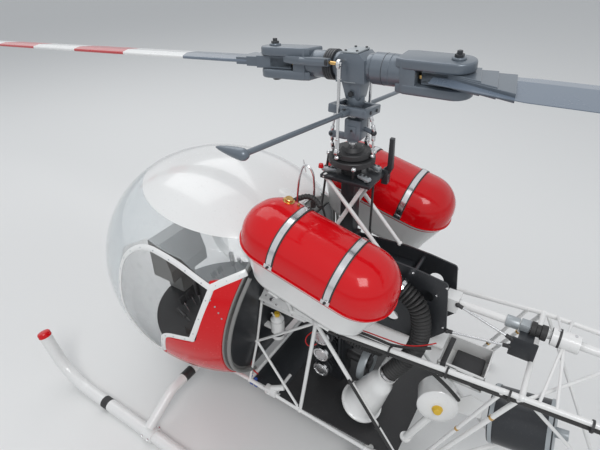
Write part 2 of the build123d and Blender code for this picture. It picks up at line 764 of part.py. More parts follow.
# Pitch links from the swashplate up to the grips
with BuildPart() as links:
    for side in SIDES:
        foot = (side * (SWASH_RADIUS - 3), 0, SWASH_Z + 6.7)
        top = head_point(side * (SWASH_RADIUS - 3), 0, -GRIP_HEIGHT / 2 - 2.8)
        bar(foot, top, 1.8)
save(links.part, "pitch_links")

# Engine deck: a plate on the lower longerons that carries the engine and what stands round it
with BuildPart() as deck:
    block((DECK_X, 0, DECK_Z - DECK_THICKNESS / 2), (DECK_LENGTH, LOWER_HALF_WIDTH * 2, DECK_THICKNESS))
    for frame in frame_sides.values():
        add(frame, mode=Mode.SUBTRACT)
    add(cross_members.part, mode=Mode.SUBTRACT)
save(deck.part, "engine_deck")

# Engine: one block with three cylinders a side
with BuildPart() as engine:
    height = ENGINE_TOP_Z - DECK_Z
    block((ENGINE_X, 0, DECK_Z + height / 2), (ENGINE_LENGTH, ENGINE_WIDTH, height))
    for z in CYLINDER_Z:
        disc((ENGINE_X, 0, z), (0, 1, 0), CYLINDER_RADIUS, CYLINDER_SPAN)
save(engine.part, "engine_block")

# Air filter canister: flange, cone and spout, on a post from the deck
with BuildPart() as air_filter:
    span = Vector(*FILTER_TOP) - Vector(*FILTER_FOOT)
    low = Plane(origin=FILTER_FOOT, z_dir=span)
    with BuildSketch(low) as base:
        Circle(FILTER_RADIUS)
    with BuildSketch(low.offset(span.length * 0.8)) as top:
        Circle(FILTER_RADIUS * 0.6)
    loft(sections=[base.sketch, top.sketch])
    disc(FILTER_FOOT, tuple(span), FILTER_RADIUS + 4, 4)
    bar(tuple(low.origin + span * 0.75), FILTER_TOP, HOSE_RADIUS)
    bar((FILTER_FOOT[0], FILTER_FOOT[1], DECK_Z), FILTER_FOOT, 6)
save(air_filter.part, "air_filter")

# Corrugated intake hose, from the filter's spout up to the gear case
with BuildPart() as hose:
    outlet = Vector(*FILTER_TOP)
    away = span.normalized()
    points = [
        tuple(outlet),
        tuple(outlet + away * 30),
        (150, -48, 330),
        (140, -42, 376),
        (104, -40, 408),
    ]
    bent_tube(points, 22, HOSE_RADIUS)
    bar((104, -30, 404), (104, -PLATE_HALF_GAP - PLATE_THICKNESS / 2, 404), 8)
save(hose.part, "intake_hose")

# Cooling fan wheel on the engine's shaft
with BuildPart() as fan:
    face_x = ENGINE_X + ENGINE_LENGTH / 2
    bar((face_x, 0, FAN_Z), (face_x + 46, 0, FAN_Z), 8)
    disc((face_x + 42, 0, FAN_Z), (1, 0, 0), FAN_RADIUS, 8)
save(fan.part, "cooling_fan")

# Oil tank drum on its bracket, bottle on the firewall, muffler on the boom's keel
with BuildPart() as oil_tank:
    bar((150, -62, DECK_Z), (190, -50, 195), 5)
    disc((195, -50, 205), (0.2, -0.6, 0.75), 32, 36)
    split(bisect_by=Plane.XY.offset(DECK_Z), keep=Keep.TOP)
save(oil_tank.part, "oil_tank")

with BuildPart() as bottle:
    disc((-108, -62, 226), (0, 0, 1), 13, 46)
    disc((-108, -62, 252), (0, 0, 1), 8, 10)
    block((-124, -62, 220), (40, 12, 8))
    split(bisect_by=FIREWALL_PLANE, keep=Keep.TOP)
save(bottle.part, "oil_bottle")

with BuildPart() as muffler:
    disc((MUFFLER_X, 0, MUFFLER_Z), (1, 0, 0.2), MUFFLER_RADIUS, 90)
    bar((MUFFLER_X + 12, 0, BOOM_KEEL_START_Z), (MUFFLER_X + 12, 0, MUFFLER_Z), 6)
    add(tail_boom.part, mode=Mode.SUBTRACT)
save(muffler.part, "muffler")

# Tail drive shaft and its bearings on the boom
BEARING_X = tuple(330.0 + 310.0 * i for i in range(5))
with BuildPart() as shaft:
    bar((SHAFT_FRONT_X + 16, 0, SHAFT_Z), (TAIL_ROTOR_X - 24, 0, SHAFT_Z), SHAFT_RADIUS)
    disc((262, 0, SHAFT_Z), (1, 0, 0), 9, 24)
    disc((290, 0, SHAFT_Z), (1, 0, 0), 9, 24)
save(shaft.part, "tail_drive_shaft")

with BuildPart() as bearings:
    block((SHAFT_FRONT_X + 6, 0, SHAFT_Z), (20, 24, 24))
    for x in BEARING_X:
        t = (x - JOINT_X) / (BOOM_END_X - JOINT_X)
        _, half_width, upper_z, _ = boom_station(t)
        disc((x, 0, SHAFT_Z), (1, 0, 0), BEARING_RADIUS, BEARING_LENGTH)
        for side in SIDES:
            for lean in (-10, 10):
                bar((x, 0, SHAFT_Z - 4), (x + lean, side * half_width, upper_z + 3), BRACE_RADIUS - 0.5)
    with BuildSketch(Plane(origin=(0, 0, SHAFT_Z), z_dir=(1, 0, 0))) as bore:
        Circle(SHAFT_RADIUS + RUNNING_GAP)
    extrude(to_extrude=bore.sketch, amount=BOOM_END_X, mode=Mode.SUBTRACT)
    add(tail_boom.part, mode=Mode.SUBTRACT)
save(bearings.part, "drive_bearings")

# Tail gearbox, guard, fin and stabiliser
with BuildPart() as gearbox:
    block((TAIL_ROTOR_X, 0, TAIL_ROTOR_Z - 4), (46, 40, 40))
    bar((TAIL_ROTOR_X, 0, TAIL_ROTOR_Z), (TAIL_ROTOR_X, TAIL_ROTOR_Y - 14, TAIL_ROTOR_Z), 11)
    bar((BOOM_END_X - 4, 0, BOOM_END_Z - 8), (TAIL_ROTOR_X, 0, TAIL_ROTOR_Z - 14), 8)
    with BuildSketch(Plane(origin=(BOOM_END_X - 50, 0, SHAFT_Z), z_dir=(1, 0, 0))) as bore:
        Circle(SHAFT_RADIUS + RUNNING_GAP)
    shaft_end = TAIL_ROTOR_X - 24 + RUNNING_GAP
    extrude(to_extrude=bore.sketch, amount=shaft_end - BOOM_END_X + 50, mode=Mode.SUBTRACT)
    add(tail_boom.part, mode=Mode.SUBTRACT)
save(gearbox.part, "tail_gearbox")

with BuildPart() as guard:
    points = [
        (BOOM_END_X - 120, 0, 312),
        (BOOM_END_X - 20, 0, 178),
        (TAIL_ROTOR_X + 60, 0, 146),
        (TAIL_ROTOR_X + 145, 0, 190),
    ]
    bent_tube(points, 60, 4.0)
    add(tail_boom.part, mode=Mode.SUBTRACT)
save(guard.part, "tail_guard")

with BuildPart() as fin:
    with BuildSketch(Plane.XZ) as outline:
        with BuildLine():
            Polyline((1440, 296), (1580, 316), (1640, 318), (1610, 200), (1575, 192), (1440, 296))
        make_face()
    extrude(to_extrude=outline.sketch, amount=1.5, both=True)
    add(tail_boom.part, mode=Mode.SUBTRACT)
    add(guard.part, mode=Mode.SUBTRACT)
save(fin.part, "ventral_fin")

with BuildPart() as stabiliser:
    block((1380, 0, 292), (84, 330, 4))
    add(tail_boom.part, mode=Mode.SUBTRACT)
save(stabiliser.part, "tail_stabiliser")

# Tail rotor
with BuildPart() as tail_hub:
    bar((TAIL_ROTOR_X, TAIL_ROTOR_Y - 13.7, TAIL_ROTOR_Z), (TAIL_ROTOR_X, TAIL_ROTOR_Y + 10, TAIL_ROTOR_Z), 6)
    block((TAIL_ROTOR_X, TAIL_ROTOR_Y, TAIL_ROTOR_Z), (22, 14, 60))
save(tail_hub.part, "tail_rotor_hub")

with BuildPart() as tail_blades:
    for side in SIDES:
        middle_z = TAIL_ROTOR_Z + side * (TAIL_ROTOR_RADIUS + 30) / 2
        size = (TAIL_BLADE_CHORD, TAIL_BLADE_THICKNESS, TAIL_ROTOR_RADIUS - 30)
        block((TAIL_ROTOR_X, TAIL_ROTOR_Y, middle_z), size)
save(tail_blades.part, "tail_rotor_blades")
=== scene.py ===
"""Looks of a quarter-scale open-frame light helicopter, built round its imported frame."""
import logging
import math
from collections.abc import Callable
from dataclasses import dataclass
from enum import Enum

import bmesh
import bpy
from mathutils import Matrix, Quaternion, Vector


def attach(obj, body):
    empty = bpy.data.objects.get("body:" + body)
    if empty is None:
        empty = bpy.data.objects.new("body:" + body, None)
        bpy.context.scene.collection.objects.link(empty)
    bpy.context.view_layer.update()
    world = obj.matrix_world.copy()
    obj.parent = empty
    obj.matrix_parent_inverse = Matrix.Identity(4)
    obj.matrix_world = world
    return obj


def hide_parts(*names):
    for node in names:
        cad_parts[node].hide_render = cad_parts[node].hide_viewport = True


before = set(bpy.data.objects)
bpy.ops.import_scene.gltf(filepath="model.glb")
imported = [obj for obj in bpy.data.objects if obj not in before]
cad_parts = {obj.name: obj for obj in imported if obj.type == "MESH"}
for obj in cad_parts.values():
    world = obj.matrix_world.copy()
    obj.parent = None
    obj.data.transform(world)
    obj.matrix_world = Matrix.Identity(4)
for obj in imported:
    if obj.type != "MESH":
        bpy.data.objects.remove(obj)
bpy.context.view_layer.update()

log = logging.getLogger("helicopter")
Colour = tuple[float, float, float]
Point = tuple[float, float, float] | Vector
MM = 0.001
SIDES = {-1: "left", 1: "right"}
FIREWALL_LEAN = math.radians(9.6)


class Body(Enum):
    """The rigid bodies that a piece can ride on."""

    AIRFRAME = "airframe"
    MAIN_ROTOR = "main_rotor"
    TAIL_DRIVE = "tail_drive"
    TAIL_ROTOR = "tail_rotor"


# Shader sockets


class Wire:
    """A number, colour or shader that runs from node to node."""

    def __init__(self, nodes: "Nodes", socket: bpy.types.NodeSocket) -> None:
        """Keep the socket and the nodes that it belongs to.

        Args:
            nodes: The nodes.
            socket: The socket.
        """
        self.nodes = nodes
        self.socket = socket

    def _math(self, operation: str, *terms: "Wire | float") -> "Wire":
        """Add one Math node.

        Args:
            operation: The node's operation.
            terms: Its inputs in order.

        Returns:
            The node's result.
        """
        inputs = dict(enumerate(terms))
        return self.nodes.add("ShaderNodeMath", {"operation": operation}, inputs)

    def __add__(self, other: "Wire | float") -> "Wire":
        """Sum.

        Args:
            other: What is added.

        Returns:
            The sum.
        """
        return self._math("ADD", self, other)

    __radd__ = __add__

    def __sub__(self, other: "Wire | float") -> "Wire":
        """Difference.

        Args:
            other: What is taken away.

        Returns:
            The difference.
        """
        return self._math("SUBTRACT", self, other)

    def __rsub__(self, other: float) -> "Wire":
        """Difference from a number.

        Args:
            other: What this is taken from.

        Returns:
            The difference.
        """
        return self._math("SUBTRACT", other, self)

    def __mul__(self, other: "Wire | float") -> "Wire":
        """Product.

        Args:
            other: The factor.

        Returns:
            The product.
        """
        return self._math("MULTIPLY", self, other)

    __rmul__ = __mul__

    def __abs__(self) -> "Wire":
        """Size without sign.

        Returns:
            The size.
        """
        return self._math("ABSOLUTE", self)

    def __mod__(self, period: float) -> "Wire":
        """Remainder that stays positive.

        Args:
            period: The divisor.

        Returns:
            The remainder.
        """
        return self._math("FLOORED_MODULO", self, period)

    def larger(self, other: "Wire") -> "Wire":
        """The larger of two numbers.

        Args:
            other: The other number.

        Returns:
            The larger one.
        """
        return self._math("MAXIMUM", self, other)

    def above(self, edge: float, blur: float = 0.0004) -> "Wire":
        """Mask that is 1 where the value lies above an edge.

        Args:
            edge: Where the mask turns on.
            blur: Width of the turn.

        Returns:
            The mask.
        """
        settings = {"interpolation_type": "SMOOTHSTEP"}
        inputs = {"Value": self, "From Min": edge - blur, "From Max": edge + blur}
        return self.nodes.add("ShaderNodeMapRange", settings, inputs)

    def below(self, edge: float, blur: float = 0.0004) -> "Wire":
        """Mask that is 1 where the value lies below an edge.

        Args:
            edge: Where the mask turns off.
            blur: Width of the turn.

        Returns:
            The mask.
        """
        return 1.0 - self.above(edge, blur)


class Nodes:
    """A node tree whose nodes are added one call at a time."""

    def __init__(self, tree: bpy.types.NodeTree) -> None:
        """Keep the tree.

        Args:
            tree: The tree.
        """
        self.tree = tree

    def add(self, kind: str, settings: dict, inputs: dict, output: int | str = 0) -> Wire:
        """Add a node.

        Args:
            kind: The node's type.
            settings: Its own settings, set before its sockets.
            inputs: Values or wires by socket name or index.
            output: Which output to return.

        Returns:
            The chosen output.
        """
        node = self.tree.nodes.new(kind)
        for name, value in settings.items():
            setattr(node, name, value)
        for key, value in inputs.items():
            self.feed(node.inputs[key], value)
        return Wire(self, node.outputs[output])

    def feed(self, socket: bpy.types.NodeSocket, value: "Wire | float | Colour") -> None:
        """Link a wire to a socket or set its value.

        Args:
            socket: The socket.
            value: A wire, number or colour.
        """
        if isinstance(value, Wire):
            self.tree.links.new(value.socket, socket)
        elif isinstance(value, tuple) and len(value) == 3 and socket.type == "RGBA":
            socket.default_value = (*value, 1.0)
        else:
            socket.default_value = value


class Shader(Nodes):
    """A material round one Principled shader."""

    def __init__(self, name: str) -> None:
        """Start the material.

        Args:
            name: The material's name.
        """
        self.material = bpy.data.materials.new(name)
        self.material.use_nodes = True
        super().__init__(self.material.node_tree)
        self.surface = self.tree.nodes["Principled BSDF"]
        self.place = self.add("ShaderNodeTexCoord", {}, {}, "Object")

    def set(self, **values: "Wire | float | Colour") -> None:
        """Set the surface's sockets, written with underscores for spaces.

        Args:
            values: What each socket gets.
        """
        for name, value in values.items():
            self.feed(self.surface.inputs[name.replace("_", " ")], value)

    def axes(self) -> tuple[Wire, Wire, Wire]:
        """Place on the object along X, Y and Z, in metres.

        Returns:
            Three numbers.
        """
        return tuple(
            self.add("ShaderNodeSeparateXYZ", {}, {0: self.place}, axis) for axis in "XYZ"
        )

    def noise(self, scale: float, detail: float = 3.0, stretch: Colour = (1, 1, 1)) -> Wire:
        """Soft random pattern between 0 and 1.

        Args:
            scale: Features per metre.
            detail: Octaves.
            stretch: Scale along each axis.

        Returns:
            The pattern.
        """
        spot = self.add("ShaderNodeMapping", {}, {"Vector": self.place, "Scale": stretch})
        inputs = {"Vector": spot, "Scale": scale, "Detail": detail}
        return self.add("ShaderNodeTexNoise", {}, inputs)

    def mix(self, share: "Wire | float", a: "Wire | Colour", b: "Wire | Colour") -> Wire:
        """Colour between two others.

        Args:
            share: Share of the second colour.
            a: First colour.
            b: Second colour.

        Returns:
            The mixed colour.
        """
        settings = {"data_type": "RGBA"}
        return self.add("ShaderNodeMix", settings, {0: share, 6: a, 7: b}, 2)

    def bump(self, height: Wire, depth: float, strength: float = 1.0) -> None:
        """Raise the surface by a height of so many metres.

        Args:
            height: Pattern between 0 and 1.
            depth: Height in metres.
            strength: Strength of the effect.
        """
        inputs = {"Height": height, "Distance": depth, "Strength": strength}
        self.set(Normal=self.add("ShaderNodeBump", {}, inputs))


def shade(colour: Colour, factor: float) -> Colour:
    """The same colour, lighter or darker.

    Args:
        colour: The colour.
        factor: What each channel is multiplied by.

    Returns:
        The changed colour.
    """
    return tuple(min(1.0, channel * factor) for channel in colour)


# Finishes


@dataclass(frozen=True)
class Finish:
    """A surface with faint mottling, dust and a fine grain."""

    name: str
    colour: Colour
    roughness: float = 0.4
    metallic: float = 0.0
    coat: float = 0.0
    gloss: float = 0.5
    dust: float = 0.10
    mottle_scale: float = 18.0
    grain: float = 900.0
    grain_depth: float = 0.00003

    def pattern(self, shader: Shader) -> "Wire | Colour":
        """Base colour before the mottling.

        Args:
            shader: The material.

        Returns:
            The colour.
        """
        return self.colour

    def material(self) -> bpy.types.Material:
        """Build the material.

        Returns:
            The material.
        """
        shader = Shader(self.name)
        cloud = shader.noise(self.mottle_scale)
        specks = shader.noise(self.mottle_scale * 14, 2.0).above(0.66, 0.05)
        base = self.pattern(shader)
        swing = 0.16 * (1.1 - self.roughness)
        worn = shader.mix(cloud * self.dust + specks * self.dust, base, DUST)
        shader.set(
            Base_Color=worn,
            Roughness=self.roughness + (cloud - 0.5) * swing + specks * 0.06,
            Metallic=self.metallic,
            Coat_Weight=self.coat,
            Coat_Roughness=0.05,
            Specular_IOR_Level=self.gloss,
        )
        shader.bump(shader.noise(self.grain, 2.0), self.grain_depth, 0.5)
        return shader.material


@dataclass(frozen=True)
class TankPaint(Finish):
    """Red over white, parted at the seam, with a pinstripe below it."""

    lower: Colour = (0.80, 0.80, 0.79)
    part_x: float = 0.011
    part_z: float = 0.464
    slope: float = -0.2493
    stripe_drop: float = 0.0078
    stripe_width: float = 0.0010

    def pattern(self, shader: Shader) -> Wire:
        """Red above the parting line, white below.

        Args:
            shader: The material.

        Returns:
            The colour.
        """
        x, _, z = shader.axes()
        height = z - self.part_z - (x - self.part_x) * self.slope
        stripe = abs(height + self.stripe_drop).below(self.stripe_width, 0.0002)
        low = shader.mix(stripe, self.lower, self.colour)
        return shader.mix(height.above(-0.001, 0.0003), low, self.colour)


@dataclass(frozen=True)
class BladeBands(Finish):
    """Blue-grey root, then red and white bands out to the tip."""

    red: Colour = (0.50, 0.006, 0.012)
    white: Colour = (0.80, 0.80, 0.79)
    first: float = 0.317
    band: float = 0.157
    slant: float = 0.59
    azimuth: float = math.radians(-2.3)

    def pattern(self, shader: Shader) -> Wire:
        """Colour by the distance from the mast along the blades.

        Args:
            shader: The material.

        Returns:
            The colour.
        """
        x, y, _ = shader.axes()
        cosine, sine = math.cos(self.azimuth), math.sin(self.azimuth)
        out = x * cosine + y * sine
        across = y * cosine - x * sine
        reach = abs(out + across * self.slant)
        odd = ((reach - self.first) % (2 * self.band)).above(self.band, 0.0005)
        bands = shader.mix(odd, self.white, self.red)
        return shader.mix(reach.above(self.first, 0.0005), self.colour, bands)


@dataclass(frozen=True)
class ClearPlastic(Finish):
    """Thin blown canopy, clearer face on than at its edge."""

    def material(self) -> bpy.types.Material:
        """Build the material, whose cover grows towards the edge.

        Returns:
            The material.
        """
        shader = Shader(self.name)
        edge = shader.add("ShaderNodeLayerWeight", {}, {"Blend": 0.36}, "Facing")
        haze = shader.noise(9.0)
        streak = shader.noise(60.0, 3.0, (0.15, 1.0, 1.0)).above(0.62, 0.08)
        shader.set(
            Base_Color=self.colour,
            Roughness=self.roughness + haze * 0.05 + streak * 0.05,
            Alpha=0.07 + edge * 0.5 + haze * 0.04 + streak * 0.03,
            Specular_IOR_Level=0.9,
            Coat_Weight=1.0,
            Coat_Roughness=0.02,
        )
        return shader.material


@dataclass(frozen=True)
class BrushedMetal(Finish):
    """Metal with fine scratches along one axis."""

    stretch: Colour = (0.05, 1.0, 1.0)

    def material(self) -> bpy.types.Material:
        """Build the material.

        Returns:
            The material.
        """
        shader = Shader(self.name)
        lines = shader.noise(1400.0, 4.0, self.stretch)
        cloud = shader.noise(30.0)
        shader.set(
            Base_Color=shader.mix(cloud * 0.5, self.colour, shade(self.colour, 0.72)),
            Roughness=self.roughness + (lines - 0.5) * 0.18,
            Metallic=1.0,
        )
        shader.bump(lines, 0.00002, 0.4)
        return shader.material


DUST = (0.42, 0.40, 0.36)
RED = (0.62, 0.002, 0.006)
FRAME_WHITE = Finish("frame_white", (0.80, 0.80, 0.79), 0.30, coat=0.4)
BODY_WHITE = Finish("body_white", (0.82, 0.82, 0.81), 0.22, coat=0.6, grain_depth=0.00001)
BODY_RED = Finish(
    "body_red", RED, 0.22, coat=0.3, gloss=0.2, dust=0.0, grain_depth=0.00001,
)
TANK_PAINT = TankPaint(
    "tank_paint", RED, 0.2, coat=0.35, gloss=0.2, dust=0.0, grain_depth=0.00001,
)
CLEAR = ClearPlastic("clear_plastic", (0.82, 0.88, 0.90), 0.03)
BLACK_PLASTIC = Finish("black_plastic", (0.020, 0.020, 0.022), 0.5, dust=0.03)
PANEL_GREY = Finish("panel_grey", (0.21, 0.21, 0.205), 0.42)
LIGHT_GREY = Finish("light_grey", (0.36, 0.39, 0.41), 0.38, metallic=0.4)
BRIGHT_STEEL = BrushedMetal("bright_steel", (0.72, 0.72, 0.73), 0.22)
BRASS = BrushedMetal("brass", (0.66, 0.42, 0.16), 0.25)
BLACK_METAL = Finish("black_metal", (0.026, 0.029, 0.034), 0.35, metallic=0.3, dust=0.03)
RUBBER = Finish("black_rubber", (0.016, 0.016, 0.017), 0.6, dust=0.04, grain_depth=0.0001)
ROTOR_GREY = Finish("rotor_grey", (0.125, 0.15, 0.18), 0.32, metallic=0.3, coat=0.2, dust=0.04)
BLADE_PAINT = BladeBands("blade_paint", (0.13, 0.165, 0.215), 0.28, coat=0.4, dust=0.04)
SEAT_CLOTH = Finish(
    "seat_cloth", (0.028, 0.027, 0.027), 0.85, dust=0.05, grain=2600.0, grain_depth=0.0003,
)
WIRE_RED = Finish("wire_red", (0.55, 0.01, 0.01), 0.4, dust=0.03)
CAP_YELLOW = Finish("cap_yellow", (0.72, 0.46, 0.03), 0.35, dust=0.04)
PLUG_BLUE = Finish("plug_blue", (0.02, 0.07, 0.34), 0.4, dust=0.03)
SHARP_ANGLE = math.radians(34)

# Record slot of each finish whose name isn't one
OTHER_SLOT = {
    "light_grey": "panel_grey", "brass": "bright_steel", "seat_cloth": "black_plastic",
    "wire_red": "body_red", "cap_yellow": "body_white", "plug_blue": "black_plastic",
}

# Finish of each node of the frame that still shows
NODE_FINISH = {
    FRAME_WHITE: (
        "skid_left skid_right cross_tube_front cross_tube_rear frame_side_left frame_side_right "
        "frame_cross_members tail_boom tank_cradles tower_struts drive_bearings tail_guard "
        "tail_drive_shaft"
    ),
    BODY_WHITE: (
        "roof_shell doorway_frames air_filter oil_tank oil_bottle tail_stabiliser "
        "tail_rotor_blades"
    ),
    BODY_RED: "side_panel_left side_panel_right ventral_fin",
    TANK_PAINT: "fuel_tank_left fuel_tank_right",
    CLEAR: "bubble_canopy",
    BLACK_PLASTIC: (
        "cabin_floor seat_bench cooling_fan swashplate_lower swashplate_upper engine_deck"
    ),
    PANEL_GREY: "firewall instrument_console tail_gearbox",
    BRIGHT_STEEL: "tank_straps mast_shaft pitch_links",
    BLACK_METAL: "side_plates mast_tower engine_block muffler",
    RUBBER: "intake_hose",
    ROTOR_GREY: "hub_block blade_grips stabiliser_bar washout_block tail_rotor_hub",
    BLADE_PAINT: "rotor_blade_aft rotor_blade_forward",
}


class Wardrobe:
    """Materials made once and shared."""

    def __init__(self) -> None:
        """Start with none."""
        self.made: dict[Finish, bpy.types.Material] = {}

    def get(self, finish: Finish) -> bpy.types.Material:
        """The finish's material, made when first asked for.

        Args:
            finish: The finish.

        Returns:
            The material.
        """
        if finish not in self.made:
            self.made[finish] = finish.material()
        return self.made[finish]

    def dress(self, obj: bpy.types.Object, finish: Finish) -> None:
        """Give a whole object one finish.

        Args:
            obj: The object.
            finish: Its finish.
        """
        obj.data.materials.clear()
        obj.data.materials.append(self.get(finish))


WARDROBE = Wardrobe()


# Mesh work


def axes_at(origin: Point, x_axis: Point, z_axis: Point) -> Matrix:
    """Place whose X and Z point along two directions.

    Args:
        origin: The place's origin in millimetres.
        x_axis: Direction of its X.
        z_axis: Rough direction of its Z, made square to X.

    Returns:
        The place as a matrix.
    """
    ahead = Vector(x_axis).normalized()
    up = Vector(z_axis)
    up = (up - ahead * up.dot(ahead)).normalized()
    place = Matrix((ahead, up.cross(ahead), up)).transposed().to_4x4()
    place.translation = origin
    return place


def along(start: Point, end: Point) -> Matrix:
    """Place at a start point whose Z runs to an end point.

    Args:
        start: The place's origin.
        end: A point on its Z axis.

    Returns:
        The place as a matrix.
    """
    heading = Vector(end) - Vector(start)
    place = heading.to_track_quat("Z", "Y").to_matrix().to_4x4()
    place.translation = start
    return place


def route(points: list, steps: int) -> list[Vector]:
    """Even points on a smooth line.

    Args:
        points: Control points of the line in millimetres.
        steps: How many spans to return.

    Returns:
        The points, first and last included.
    """
    curve = smooth_curve(points, 0.0)
    holder = bpy.data.objects.new("line", curve)
    line = bpy.data.meshes.new_from_object(holder)
    spots = [vertex.co.copy() for vertex in line.vertices]
    bpy.data.objects.remove(holder)
    reach = [0.0]
    for a, b in zip(spots, spots[1:]):
        reach.append(reach[-1] + (b - a).length)
    even = []
    for step in range(steps + 1):
        goal = reach[-1] * step / steps
        index = max(1, next((i for i, r in enumerate(reach) if r >= goal - 1e-6), len(reach) - 1))
        span = reach[index] - reach[index - 1]
        even.append(spots[index - 1].lerp(spots[index], (goal - reach[index - 1]) / span))
    return even


def smooth_curve(points: list, radius: float) -> bpy.types.Curve:
    """NURBS curve through a route, thick when a radius is given.

    Args:
        points: Control points.
        radius: Radius of the tube, 0 for a bare line.

    Returns:
        The curve.
    """
    curve = bpy.data.curves.new("line", "CURVE")
    curve.dimensions = "3D"
    curve.resolution_u = 8
    curve.bevel_depth = radius
    curve.bevel_resolution = 2
    curve.use_fill_caps = radius > 0
    spline = curve.splines.new("NURBS")
    spline.points.add(len(points) - 1)
    for knot, point in zip(spline.points, points):
        knot.co = (*point, 1.0)
    spline.order_u = min(3, len(points))
    spline.use_endpoint_u = True
    return curve


def side_view(x: float = 0.0, y: float = 0.0, z: float = 0.0) -> Matrix:
    """Place that stands an outline up, its Y along Z and its Z to port.

    Args:
        x: The place's x.
        y: The place's y.
        z: The place's z.

    Returns:
        The place as a matrix.
    """
    return Matrix(((1, 0, 0, x), (0, 0, -1, y), (0, 1, 0, z), (0, 0, 0, 1)))


def tilted_axes(height: float, azimuth: float, tilt: float) -> Matrix:
    """Place on the mast axis, its X at an azimuth and raised by a tilt.

    Args:
        height: Height of the place.
        azimuth: Direction of its X, in radians.
        tilt: How far its X rises, in radians.

    Returns:
        The place as a matrix.
    """
    ahead = (
        math.cos(azimuth) * math.cos(tilt), math.sin(azimuth) * math.cos(tilt), math.sin(tilt)
    )
    return axes_at((0, 0, height), ahead, (0, 0, 1))


def edges_where(shape: bmesh.types.BMesh, test: Callable[[Vector, Vector], bool]) -> list:
    """Edges whose two ends pass a test.

    Args:
        shape: The shape.
        test: Takes the places of both ends.

    Returns:
        The edges.
    """
    return [edge for edge in shape.edges if test(edge.verts[0].co, edge.verts[1].co)]


